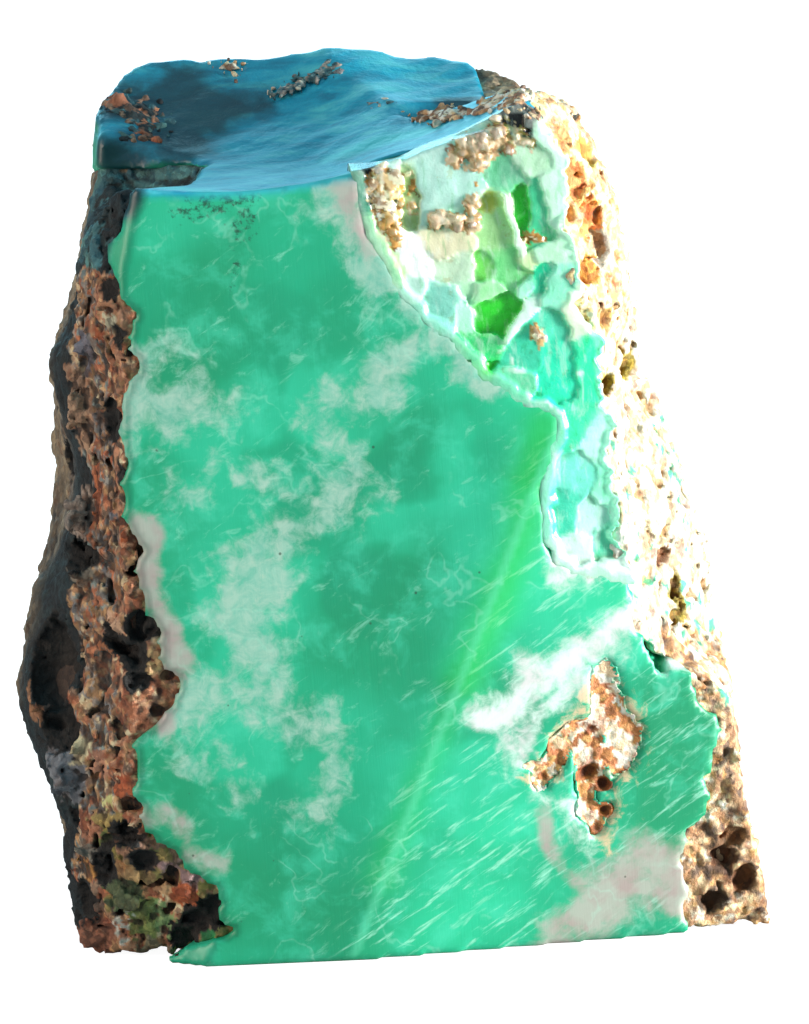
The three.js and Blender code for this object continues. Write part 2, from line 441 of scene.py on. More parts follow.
def corner_zone(x, y, z):
    """How far a point is inside the part of the front where the corner is broken."""
    corners = [place(across, 0, up)[[0, 2]] for across, up in CORNER_OUTLINE]
    nearest = np.full(np.broadcast_shapes(x.shape, z.shape), 99.0, dtype=np.float32)
    crossings = np.zeros(nearest.shape, dtype=int)
    for start, end in zip(corners, corners[1:] + corners[:1]):
        step = end - start
        part = np.clip(((x - start[0]) * step[0] + (z - start[1]) * step[1]) / (step @ step), 0, 1)
        gap = np.hypot(x - start[0] - part * step[0], z - start[1] - part * step[1])
        nearest = np.minimum(nearest, gap)
        if step[1] != 0:
            passes = (start[1] > z) != (end[1] > z)
            crossings += passes & (x < start[0] + step[0] * (z - start[1]) / step[1])
    inside = np.where(crossings % 2 == 1, nearest, -nearest)
    across, up = np.broadcast_arrays(x[:, :, 0], z[0, :, :])
    front_spots = np.stack([across.ravel(), 0 * across.ravel(), up.ravel()], axis=1)
    ragged = 0.3 * noise(front_spots, 1.1, 68) + 0.12 * noise(front_spots, 0.5, 69)
    ragged = ragged.reshape(across.shape)[:, None, :]
    return np.minimum(inside + ragged + LIP, 0.4 + LIP - right_zone(x, y, z))


def near_line(spots, places, width):
    """1 on a line of (across, up) places seen from the front, fading to 0 at its width."""
    corners = np.array([seen(across, up) for across, up in places])
    nearest = np.full(len(spots), np.inf)
    for start, end in zip(corners[:-1], corners[1:]):
        step = end - start
        part = np.clip(((spots - start) @ step) / max(step @ step, 1e-9), 0, 1)
        nearest = np.minimum(nearest, np.linalg.norm(spots - start - part[:, None] * step, axis=1))
    return np.exp(-((nearest / width) ** 2))


def sink(grid, inside, depth):
    """Cuts a bed for a crust, with an upright rim."""
    bed = np.minimum(3 * inside, grid.distance + depth)
    grid.distance = np.maximum(grid.distance, bed.astype(np.float32))


def close_shell(grid, inside, cover, wall, limits, drop=0.15):
    """Keeps a crust in its zone, as a closed shell that runs on a little way just under the stone."""
    under_rim = cover + drop - 2 * np.maximum(inside, 0)
    for limit in (under_rim, -(cover + wall), -RUN_UNDER - inside, *limits):
        grid.distance = np.maximum(grid.distance, limit.astype(np.float32))


# ---- turning a grid into a mesh ----


def connected_part(points, quads):
    """Only the largest connected piece: loose crumbs and sealed bubbles are left out."""
    label = np.arange(len(points))
    while True:
        lowest = label[quads].min(axis=1)
        new = label.copy()
        for corner in range(4):
            np.minimum.at(new, quads[:, corner], lowest)
        new = new[new]
        if np.array_equal(new, label):
            break
        label = new
    values, sizes = np.unique(label, return_counts=True)
    kept = label == values[sizes.argmax()]
    index = np.cumsum(kept) - 1
    return points[kept], index[quads[kept[quads[:, 0]]]]


def corner_normals(points, triangles):
    """The way the surface faces at each point."""
    corners = points[triangles]
    face = np.cross(corners[:, 1] - corners[:, 0], corners[:, 2] - corners[:, 0])
    normals = np.stack(
        [
            np.bincount(triangles.ravel(), np.repeat(face[:, axis], 3), minlength=len(points))
            for axis in range(3)
        ],
        axis=1,
    )
    return normals / np.maximum(np.linalg.norm(normals, axis=1, keepdims=True), 1e-9)


def new_mesh(name, points, faces):
    """A mesh in metres from points in millimetres."""
    mesh = bpy.data.meshes.new(name)
    corners = faces.shape[1]
    mesh.vertices.add(len(points))
    mesh.vertices.foreach_set("co", (points * MM).astype(np.float32).ravel())
    mesh.loops.add(faces.size)
    mesh.loops.foreach_set("vertex_index", faces.astype(np.int32).ravel())
    mesh.polygons.add(len(faces))
    mesh.polygons.foreach_set("loop_start", np.arange(0, faces.size, corners, dtype=np.int32))
    mesh.update(calc_edges=True)
    return mesh


def thinned(points, quads, budget, may_go):
    """The surface with fewer triangles: the flattest places where points may go lose most."""
    mesh = new_mesh("thick", points, quads)
    thick = bpy.data.objects.new("thick", mesh)
    bpy.context.collection.objects.link(thick)
    group = thick.vertex_groups.new(name="may_go")
    group.add(np.flatnonzero(may_go).tolist(), 1.0, "REPLACE")
    decimate = thick.modifiers.new("thin", "DECIMATE")
    decimate.ratio = min(1.0, budget / (2 * len(quads)))
    decimate.vertex_group = "may_go"
    thin = thick.evaluated_get(bpy.context.evaluated_depsgraph_get()).to_mesh()
    thin.calc_loop_triangles()
    points = np.empty(len(thin.vertices) * 3, dtype=np.float32)
    thin.vertices.foreach_get("co", points)
    triangles = np.empty(len(thin.loop_triangles) * 3, dtype=np.int32)
    thin.loop_triangles.foreach_get("vertices", triangles)
    bpy.data.objects.remove(thick)
    bpy.data.meshes.remove(mesh)
    return points.reshape(-1, 3).astype(np.float64) / MM, triangles.reshape(-1, 3).astype(np.int64)


BEND_WIDTH = 0.45  # distances smoothed over this width show where the surface bends


class Skin:
    """The surface of a grid: points, triangles, normals, tints and how sharply it bends."""

    def __init__(self, grid, budget, may_go=None, whole=True):
        volume = openvdb.FloatGrid(grid.cell * 3)
        volume.copyFromArray(
            np.clip(grid.distance, -grid.cell * 3, grid.cell * 3), ijk=tuple(int(i) for i in grid.first)
        )
        volume.transform = openvdb.createLinearTransform(voxelSize=grid.cell)
        points, quads = volume.convertToQuads(0.0)
        points, quads = points.astype(np.float64), quads.astype(np.int64)
        if whole:
            points, quads = connected_part(points, quads)
        corners = points[quads[:, :3]]
        if np.einsum("ij,ij->", corners[:, 0], np.cross(corners[:, 1], corners[:, 2])) < 0:
            quads = quads[:, ::-1]
        loose = np.ones(len(points), dtype=bool) if may_go is None else may_go(points)
        self.points, self.triangles = thinned(points, quads, budget, loose)
        self.points[:, 2] = np.maximum(self.points[:, 2], low[2])
        self.normals = corner_normals(self.points, self.triangles)
        self.bend = grid.at(grid.blurred(BEND_WIDTH), self.points)
        nearest = np.rint(self.points / grid.cell).astype(int) - grid.first
        nearest = np.clip(nearest, 0, np.array(grid.count) - 1)
        self.tint = grid.tint[nearest[:, 0], nearest[:, 1], nearest[:, 2]]


# ---- shared recipes ----


def palette(*codes):
    """Linear colours from sRGB codes."""
    return np.array([colour(code) for code in codes])


RUST = palette("a8684a", "bc7c5a", "c99878", "8a523a", "b48064")
TAN = palette("c8a078", "b08860", "dcc8a4", "a07c58")
EARTH = palette("7a6252", "8f7460", "645044")
GREY = palette("8d8a86", "76787c", "9a9088", "7f8f8e")
TEAL = palette("3f6f78", "2f5a66", "4f7f80", "35606a")
# Near-black blues: painted shade.
SHADE = palette("101c22", "14262c", "0c181e", "1c2c30")
OLIVE = palette("8a7f3e", "6f7a45", "9a8c55", "a39a5c")
PALE = palette("dcd6c4", "e8e2d4", "d0c4a4", "e0e2d8")
ORANGE = palette("d0a878", "dcb88c", "c0945c", "e0c8a0")
CREAM = palette("c49c70", "ac8858", "d8bc98", "98704c", "d0b48c")
HONEY = palette("f0cc94", "f4d8ac", "f8e8cc", "e8bc7c", "f4dcb0")
GOLD = palette("b08040", "cc9850", "dcb87c", "e8d8b4", "8c6028")
ROCK = palette("463c34", "645848", "7e705c", "9a8c74", "6c6660", "8c7a64")
# Near black: painted shade for the insides of caves.
CAVE_SHADE = colour("1c1a18")


def by_number(number, *palettes):
    """A colour for each block number, the same for the same number."""
    colours = np.concatenate(palettes)
    return colours[(number * 31 + number // 7) % len(colours)]


def rock_tint(points, number):
    """Earthy tints that change slowly over the rock, a little different from lump to lump."""
    tone = 0.5 + 0.55 * rough_noise(points, 7.0, 2, seed=71) + 0.08 * (number % 3 - 1)
    spot = np.clip(tone, 0, 0.999) * (len(ROCK) - 1)
    before = spot.astype(int)
    part = (spot - before)[:, None]
    return ROCK[before] * (1 - part) + ROCK[before + 1] * part


def blended(tints, others, share):
    """The first tints where the share is 0, the others where it is 1."""
    return tints + share[:, None] * (others - tints)


def warped(points, amount, spacing, seed):
    """The points moved about, so that cells get uneven edges."""
    return points + amount * np.stack([noise(points, spacing, seed + i) for i in range(3)], axis=1)


def random_radii(random, smallest, largest):
    """Three radii of an uneven grain. Small grains are commoner."""
    base = smallest * (largest / smallest) ** (random.random() ** 1.5)
    return base * random.uniform(0.65, 1.3, size=3)


# ---- the left crust: rusty lumps and grains with open caves between them ----

LEFT_CELL = 0.2
LEFT_BED = 1.9
left = Grid(place(-0.03, -0.02, -0.01), place(0.46, 0.82, 0.97), LEFT_CELL)
left.copied_from(body)
left_cover = left.distance.copy()
left_inside = left_zone(left.x, left.y, left.z)
left_random = np.random.default_rng(3)

# Lumps: across, up, radii, turn, tint.
for across, up, radii, turn, code in (
    (0.085, 0.652, (1.3, 1.1, 2.4), -5, "a88870"),
    (0.084, 0.537, (1.2, 1.1, 2.2), 5, "94867c"),
    (0.091, 0.714, (0.9, 0.9, 1.3), 0, "6c6c78"),
    (0.121, 0.765, (0.7, 0.6, 0.8), 0, "b88464"),
    (0.122, 0.744, (0.7, 0.5, 0.6), 0, "b4b49c"),
    (0.109, 0.730, (0.6, 0.6, 0.7), 0, "a85a34"),
    (0.142, 0.705, (0.7, 0.5, 0.8), 0, "c08860"),
    (0.105, 0.676, (0.5, 0.5, 0.6), 0, "b0b8a0"),
    (0.115, 0.599, (0.8, 0.7, 0.8), 0, "a86040"),
    (0.102, 0.553, (0.7, 0.7, 2.0), 0, "ac6440"),
    (0.137, 0.518, (0.6, 0.5, 0.6), 0, "984c28"),
    (0.118, 0.514, (0.8, 0.7, 1.2), 0, "74747c"),
    (0.111, 0.492, (0.6, 0.5, 0.6), 0, "8a5238"),
    (0.078, 0.468, (1.4, 1.2, 0.8), 0, "7c7468"),
    (0.119, 0.405, (2.0, 0.9, 0.6), -28, "c09a80"),
    (0.099, 0.386, (1.8, 0.9, 0.35), -28, "a86c48"),
    (0.102, 0.361, (0.8, 0.8, 0.8), 0, "3c5050"),
    (0.168, 0.357, (0.6, 0.5, 0.8), 0, "c8a878"),
    (0.025, 0.325, (0.9, 1.2, 1.3), 0, "9c7050"),
    (0.129, 0.315, (1.6, 0.7, 0.4), -30, "b07050"),
    (0.062, 0.237, (1.5, 1.2, 1.9), 10, "747880"),
    (0.074, 0.265, (0.8, 0.7, 0.8), -20, "bcb494"),
    (0.095, 0.241, (1.3, 0.7, 0.8), 20, "b08068"),
    (0.120, 0.217, (0.7, 0.5, 0.4), 15, "a85834"),
    (0.103, 0.196, (0.6, 0.5, 0.6), 0, "d0d090"),
    (0.103, 0.177, (2.1, 0.9, 0.4), 18, "b8a060"),
    (0.143, 0.146, (1.3, 0.9, 0.8), -10, "8f6a54"),
    (0.076, 0.143, (1.0, 1.0, 0.7), -10, "8a8478"),
    (0.073, 0.122, (1.1, 1.0, 0.8), 0, "b88448"),
    (0.136, 0.114, (1.4, 1.0, 0.9), 10, "a8885c"),
    (0.199, 0.106, (1.6, 0.6, 1.1), -10, "a88888"),
    (0.212, 0.085, (1.4, 0.7, 0.6), -20, "a45430"),
    (0.247, 0.110, (0.35, 0.5, 1.4), -35, "8a8448"),
    (0.129, 0.088, (1.0, 0.9, 1.1), 10, "5c6848"),
    (0.155, 0.062, (0.7, 0.6, 1.1), 10, "7c8c50"),
    (0.185, 0.050, (0.5, 0.6, 1.3), 20, "8aa870"),
    (0.090, 0.048, (1.4, 1.2, 1.1), -10, "94604a"),
    (0.095, 0.018, (1.4, 1.2, 1.0), 0, "74402e"),
    (0.121, 0.041, (0.5, 0.5, 0.9), -15, "c8ccc4"),
    (0.172, 0.021, (1.3, 0.8, 0.7), 0, "7c7860"),
    (0.233, 0.031, (0.5, 0.6, 1.3), 0, "2c8a50"),
):
    centre = seen(across, up) + (0, 0.3 * radii[1], 0)
    left.block(centre, radii, left_random, colour(code), tilted_axes(turn), spill=0.6)

# Open caves, their insides painted near black as shade: across, up, radii, turn.
for across, up, radii, turn in (
    (0.045, 0.367, (1.7, 1.5, 3.0), 0),
    (0.043, 0.289, (1.5, 1.3, 1.2), 0),
    (0.133, 0.370, (0.6, 0.9, 0.65), 0),
    (0.152, 0.364, (0.4, 0.8, 0.4), 0),
    (0.156, 0.401, (1.0, 0.8, 0.35), 0),
    (0.120, 0.390, (1.2, 0.8, 0.2), -28),
    (0.098, 0.121, (0.6, 1.2, 0.9), 0),
    (0.120, 0.160, (1.2, 0.9, 0.3), 18),
    (0.073, 0.600, (1.4, 1.3, 0.9), 0),
    (0.069, 0.487, (1.3, 1.3, 0.7), 0),
    (0.070, 0.081, (0.9, 1.4, 1.3), 0),
    (0.214, 0.058, (0.45, 0.9, 0.7), 0),
    (0.237, 0.063, (0.35, 0.8, 0.8), 0),
    (0.205, 0.028, (0.3, 0.9, 1.0), 20),
    (0.120, 0.640, (0.3, 0.7, 0.9), 0),
    (0.130, 0.580, (0.25, 0.7, 0.5), 0),
    (0.126, 0.785, (0.3, 0.7, 0.5), 0),
    (0.132, 0.735, (0.25, 0.6, 0.4), 0),
    (0.150, 0.340, (0.5, 0.7, 0.3), 0),
    (0.152, 0.128, (0.4, 0.8, 0.4), 0),
):
    left.hole(seen(across, up), radii, CAVE_SHADE, tilted_axes(turn))

# Grains of every size over the lumps and caves, calmer towards the back.
index, points = left.near((np.abs(left.distance) < 1.3) & (left_inside > -0.6))
depth_back = points[:, 1] - low[1]
height_share = (points[:, 2] - low[2]) / size[2]
moved = warped(points, 0.5, 1.7, 1)
big, family = knobs(moved, 2.7, seed=1)
middling, number = knobs(moved, 1.15, seed=2)
small, small_number = knobs(warped(points, 0.2, 0.8, 4), 0.56, seed=3)
calm = 1 - 0.5 * fade_in(depth_back, 5.0, 10.0)
height = calm * (0.5 * big + 0.5 * middling + 0.34 * small) + 0.25 * rough_noise(points, 4.5, 2, seed=6)
left.distance[index] -= np.minimum(height - 0.85 * calm, 0.3)
caves = rough_noise(points, 1.9, 2, seed=12)
cave_start = 0.42 + 0.4 * fade_in(depth_back, 4.0, 9.0)
left.distance[index] = np.maximum(left.distance[index], (caves - cave_start) * 1.2)

reach_back = depth_back + 1.8 * noise(points, 4.0, 21)
near_tint = by_number(number + small_number, RUST, RUST, TAN, EARTH)
back_tint = by_number(family + small_number, GREY, EARTH, TAN, RUST[:2])
# Painted shade: from 6.5 mm behind the front the left side turns near-black blue, fading into rock tints
# from 9 to 15 mm back.
far_share = fade_in(reach_back, 9.0, 15.0)
far_tint = blended(by_number(number, SHADE), rock_tint(points, number), far_share)
low_tint = by_number(number, OLIVE, RUST, EARTH, TAN)
left_tint = np.where((reach_back < 2.6)[:, None], near_tint, back_tint)
left_tint = np.where((reach_back > 6.5)[:, None], far_tint, left_tint)
left_tint = np.where(((height_share < 0.17) & (depth_back < 5))[:, None], low_tint, left_tint)
# Painted shade: near-black and teal-blue tints on the upper part of the left side.
high_up = (height_share > 0.8) & (reach_back < 15)
left_tint = np.where(high_up[:, None], by_number(number, SHADE, TEAL), left_tint)
left.paint(index, left_tint)
close_shell(left, left_inside, left_cover, 2.7, (low[1] + 0.02 - left.y, low[2] - left.z))

# ---- the right crust: low pale lumps with pits ----

RIGHT_CELL = 0.2
RIGHT_BED = 1.3
right = Grid(place(0.62, -0.02, -0.01), place(1.03, 0.82, 1.03), RIGHT_CELL)
right.copied_from(body)
right_cover = right.distance.copy()
right_inside = right_zone(right.x, right.y, right.z)

# Cavities: across, up, radii, turn, tint.
for across, up, radii, turn, code in (
    (0.722, 0.897, (1.1, 1.0, 1.2), 0, "ecb470"),
    (0.74, 0.853, (1.1, 1.0, 1.2), 20, "ecac64"),
    (0.752, 0.82, (0.8, 0.9, 0.8), 0, "ccc8bc"),
    (0.738, 0.795, (1.4, 1.0, 0.6), 8, "e0a850"),
    (0.735, 0.93, (0.6, 0.7, 0.9), 0, "d4bc60"),
    (0.705, 0.945, (0.6, 0.7, 0.6), 0, "e4b878"),
    (0.712, 0.86, (0.4, 0.7, 0.6), 0, "ecc888"),
    (0.785, 0.69, (1.0, 0.7, 0.3), 30, "a8963a"),
    (0.76, 0.668, (0.7, 0.6, 0.25), 35, "a8963a"),
    (0.757, 0.735, (0.3, 0.6, 0.9), 10, "b89858"),
    (0.832, 0.466, (0.4, 0.7, 0.25), -25, "8e6a48"),
    (0.848, 0.428, (0.25, 0.7, 0.7), -15, "9a8a3c"),
    (0.856, 0.402, (0.25, 0.7, 0.5), -10, "9a8a3c"),
    (0.965, 0.255, (0.6, 0.8, 1.4), 0, "7a5236"),
    (0.96, 0.215, (0.4, 0.8, 0.5), 0, "54402c"),
    (0.909, 0.104, (0.6, 0.9, 0.7), 0, "6a4a30"),
    (0.896, 0.055, (0.8, 0.8, 0.5), -15, "5c4630"),
    (0.935, 0.08, (0.5, 0.9, 0.7), 0, "7c5c3c"),
    (0.925, 0.13, (0.9, 0.8, 0.4), 20, "8a6440"),
):
    right.hole(seen(across, up), radii, colour(code), tilted_axes(turn))

index, points = right.near((np.abs(right.distance) < 1.1) & (right_inside > -0.6))
height_share = (points[:, 2] - low[2]) / size[2]
moved = warped(points, 0.6, 1.5, 4)
big, _ = knobs(moved, 2.5, seed=4)
middling, number = knobs(moved, 1.05, seed=5)
small, small_number = knobs(warped(points, 0.2, 0.7, 8), 0.5, seed=6)
height = 0.5 * big + 0.34 * middling + 0.16 * small + 0.15 * rough_noise(points, 1.6, 3, seed=7) - 0.6
right.distance[index] -= height
pits = rough_noise(points, 1.3, 2, seed=15)
right.distance[index] = np.maximum(right.distance[index], (pits - 0.5) * 1.1)
height_share = height_share + 0.07 * noise(points, 4.5, 37) + 0.03 * noise(points, 1.4, 38)
warmth = fade_in(height_share, 0.62, 0.84) + 1.1 * fade_in(height_share, 0.38, 0.2)
warmth = warmth + 0.6 * noise(points, 3.0, 30)
warm_tint = by_number(number + small_number, HONEY, PALE, HONEY)
low_warm = by_number(number + small_number, ORANGE, PALE, ORANGE, TAN)
warm_tint = np.where((height_share < 0.35)[:, None], low_warm, warm_tint)
right_tint = np.where((warmth > 0.45)[:, None], warm_tint, by_number(number, PALE))
vugs = (height_share < 0.3) & (noise(points, 2.2, 35) > 0.0)
right_tint = np.where(vugs[:, None], by_number(small_number, EARTH, TAN, ORANGE), right_tint)
flecks = noise(points, 1.1, 33) + 0.5 * noise(points, 5.0, 34)
in_middle = (height_share > 0.3) & (height_share < 0.62) & (flecks > 0.55)
right_tint = np.where(in_middle[:, None], np.array(colour("5cc4a4")), right_tint)
far_share = fade_in(points[:, 1] - low[1] + 3 * noise(points, 5.0, 36), 12.0, 22.0)
right.paint(index, blended(right_tint, rock_tint(points, number), far_share))
right_limits = (0.02 - sawn_depth(right.x, right.y, right.z), low[2] - right.z)
close_shell(right, right_inside, right_cover, 2.1, right_limits)

# ---- the broken corner: facets of crystal nearly level with the front, with druse between them ----

POCKET_CELL = 0.13
POCKET_BED = 2.0
POCKET_PROUD = 0.03
pocket = Grid(place(0.42, -0.02, 0.42), place(0.84, 0.22, 1.02), POCKET_CELL)
pocket.copied_from(body)
pocket_saw = sawn_depth(pocket.x, pocket.y, pocket.z)
corner_inside = corner_zone(pocket.x, pocket.y, pocket.z)
index, points = pocket.near((corner_inside > -0.4) & (pocket_saw > -1.5) & (pocket_saw < 5.0))

# The hollow in the CAD stone is filled up to its rim, and the facets are cut into the filling.
depth_back = points[:, 1] - low[1]
rim = np.interp(
    points[:, 0],
    [place(across, 0, 0)[0] for across in (0.456, 0.494, 0.525, 0.56, 0.62, 0.68)],
    [place(0, 0, up)[2] for up in (0.912, 0.918, 0.93, 0.94, 0.955, 0.945)],
)
flank = points[:, 0] - edge_at(RIGHT_EDGE, points[:, 2]) - 0.5 * depth_back
filling = np.maximum(points[:, 2] - rim - 0.1 * depth_back, flank + 0.3)
filling = np.maximum(filling, -pocket_saw[index])
pocket.distance[index] = np.minimum(pocket.distance[index], filling)
pocket.distance -= POCKET_PROUD
pocket_cover = pocket.distance.copy()
pocket_back = np.full(pocket.distance.shape, 2.2, dtype=np.float32)
pocket_back[index] += np.clip(2 * (rim - points[:, 2]), 0, 2.1)

# Facets: across, up, half width and height in mm, turn, depth, looks right, looks up, tint.
FACETS = [
    (0.548, 0.897, 2.2, 2.5, 5, 0.70, 0.04, -0.02, "b4e2d4"),
    (0.503, 0.883, 0.8, 1.7, 0, 0.90, 0.10, 0.00, "c8d898"),
    (0.509, 0.819, 0.8, 1.8, 36, 0.35, 0.12, 0.05, "eef6f0"),
    (0.479, 0.809, 0.6, 1.8, 30, 0.25, -0.05, 0.00, "c8ecb0"),
    (0.548, 0.833, 1.7, 1.0, 0, 0.45, 0.03, 0.10, "e8e4c0"),
    (0.557, 0.801, 1.4, 1.3, 10, 0.60, 0.00, -0.05, "cdeccc"),
    (0.572, 0.783, 0.8, 1.0, 0, 0.70, 0.05, -0.10, "b8ecc0"),
    (0.608, 0.851, 1.3, 2.2, 6, 0.80, 0.02, 0.06, "a4dc94"),
    (0.622, 0.804, 1.7, 1.9, -10, 0.80, 0.03, -0.04, "74d888"),
    (0.596, 0.806, 0.8, 1.2, 0, 0.90, -0.06, 0.00, "74d860"),
    (0.599, 0.877, 0.8, 0.8, 0, 1.00, 0.00, 0.10, "c4cc50"),
    (0.603, 0.776, 1.6, 0.9, 15, 0.50, -0.03, -0.10, "98e0a0"),
    (0.632, 0.846, 0.3, 2.5, 17, 0.35, 0.15, 0.00, "d8f6d8"),
    (0.643, 0.867, 0.6, 1.7, 4, 1.20, -0.08, 0.00, "30c838"),
    (0.663, 0.863, 0.8, 2.2, 3, 0.80, 0.06, 0.00, "4cd49c"),
    (0.687, 0.879, 0.9, 2.6, 2, 0.60, 0.16, 0.00, "c0ecd0"),
    (0.618, 0.909, 1.4, 0.9, -8, 0.90, 0.00, -0.10, "78d0a4"),
    (0.662, 0.918, 1.3, 0.8, -10, 0.70, 0.05, 0.10, "b4e0bc"),
    (0.685, 0.817, 1.3, 0.8, 0, 0.60, 0.12, 0.10, "b8ecc8"),
    (0.647, 0.810, 0.8, 0.8, 40, 0.50, 0.10, 0.10, "d4ecb4"),
    (0.545, 0.763, 2.2, 1.4, 38, 0.40, -0.03, 0.03, "8cdcc8"),
    (0.509, 0.776, 0.9, 0.8, 20, 0.25, -0.08, 0.00, "c8f0e0"),
    (0.574, 0.747, 0.6, 1.4, 30, 0.50, 0.12, 0.00, "a8e8c8"),
    (0.612, 0.748, 1.4, 2.2, -20, 1.00, -0.03, 0.05, "3ade3c"),
    (0.598, 0.716, 1.2, 0.9, 0, 0.50, -0.03, -0.05, "38d07c"),
    (0.673, 0.787, 0.6, 1.6, -25, 0.70, 0.02, 0.00, "26d4a0"),
    (0.653, 0.779, 0.8, 0.6, 30, 0.50, 0.08, 0.10, "90e8c4"),
    (0.693, 0.780, 1.0, 1.6, 0, 0.50, 0.10, 0.05, "90ecc8"),
    (0.646, 0.747, 0.4, 1.9, -36, 0.35, 0.14, 0.10, "d0f6e0"),
    (0.653, 0.708, 1.3, 1.6, 0, 0.55, -0.04, 0.05, "48d8b0"),
    (0.683, 0.733, 1.2, 1.2, 20, 0.60, 0.06, 0.10, "5ce4bc"),
    (0.692, 0.692, 1.4, 2.1, 10, 0.60, 0.02, -0.04, "2ee4b4"),
    (0.726, 0.689, 0.9, 2.3, 12, 0.50, 0.12, 0.00, "30dca0"),
    (0.644, 0.674, 1.0, 0.8, 0, 0.30, -0.03, -0.10, "68dca8"),
    (0.712, 0.745, 0.9, 1.6, 8, 0.40, 0.15, 0.05, "d8f0c8"),
    (0.673, 0.839, 0.9, 0.6, 0, 0.90, 0.00, -0.10, "48c888"),
    (0.710, 0.567, 1.6, 1.5, 0, 0.50, 0.05, 0.10, "70dcc4"),
    (0.698, 0.527, 1.2, 2.0, 0, 0.45, -0.05, 0.00, "44d0ac"),
    (0.731, 0.517, 1.5, 1.5, 20, 0.70, 0.12, 0.00, "b4ecdc"),
    (0.714, 0.480, 1.6, 1.4, 10, 0.50, -0.04, -0.08, "d8f2e8"),
    (0.750, 0.483, 1.2, 2.0, 0, 0.70, 0.10, -0.05, "58d0a8"),
    (0.755, 0.547, 1.2, 2.0, 5, 0.50, 0.12, 0.05, "88e0bc"),
    (0.745, 0.454, 1.8, 0.8, 0, 0.35, 0.05, -0.12, "e6f2e8"),
    (0.714, 0.616, 1.8, 1.5, 20, 0.35, 0.03, 0.05, "3cd8a4"),
    (0.741, 0.600, 1.1, 1.8, 8, 0.50, 0.12, 0.00, "a8ecd0"),
]
index, points = pocket.near((corner_inside > -0.4) & (pocket_saw > -1.0) & (pocket_saw < 2.0))
moved = warped(points, 0.22, 0.9, 61)
closest = np.full(len(points), np.inf)
facet_depth = np.zeros(len(points))
facet_tint = np.zeros((len(points), 4))
share_sum = np.full((len(points), 1), 1e-9)
for across, up, wide, high_half, turn, depth, look_right, look_up, code in FACETS:
    spot = seen(across, up)
    from_spot = moved[:, [0, 2]] - spot[[0, 2]]
    cosine, sine = math.cos(math.radians(turn)), math.sin(math.radians(turn))
    along_width = from_spot @ (cosine, sine) / wide
    along_height = from_spot @ (-sine, cosine) / high_half
    distance = along_width**2 + along_height**2
    nearer = distance < closest
    closest[nearer] = distance[nearer]
    tilted = depth + (points[:, [0, 2]] - spot[[0, 2]]) @ (look_right, look_up)
    facet_depth[nearer] = tilted[nearer]
    share = np.exp(-5 * np.minimum(distance, 20))[:, None]
    facet_tint += share * colour(code)
    share_sum += share
facet_tint /= share_sum

facet_depth += 0.05 * noise(points, 0.8, 62) + 0.12 * noise(points, 2.2, 63)
steps_in = fade_in(corner_inside[index], LIP, LIP + 0.45)
facet_depth = np.clip(0.7 * facet_depth, 0.12, 1.1) * steps_in
pocket.distance[index] = np.maximum(pocket.distance[index], facet_depth - pocket_saw[index])

# Thin white cracks, as (across, up) places.
CRACKS = [
    [(0.702, 0.733), (0.711, 0.702), (0.719, 0.678)],
    [(0.637, 0.730), (0.633, 0.704), (0.634, 0.687)],
    [(0.615, 0.702), (0.629, 0.722), (0.641, 0.734), (0.661, 0.764)],
    [(0.644, 0.784), (0.661, 0.770), (0.685, 0.755), (0.702, 0.744)],
    [(0.634, 0.728), (0.646, 0.710), (0.666, 0.712)],
    [(0.624, 0.687), (0.646, 0.684)],
    [(0.655, 0.650), (0.679, 0.645), (0.694, 0.635)],
    [(0.682, 0.557), (0.700, 0.545), (0.720, 0.560)],
]
cracked = np.max([near_line(warped(points, 0.2, 0.6, 64), line, 0.16) for line in CRACKS], axis=0)
cracked *= 0.9 * fade_in(noise(points, 0.7, 65), -0.4, 0.1)
facet_tint += cracked[:, None] * (np.array(colour("f4fff8")) - facet_tint)
edge_share = 0.6 * fade_in(corner_inside[index], LIP + 0.3, LIP - 0.2)[:, None]
facet_tint += edge_share * (np.array(colour("6cd4ac")) - facet_tint)

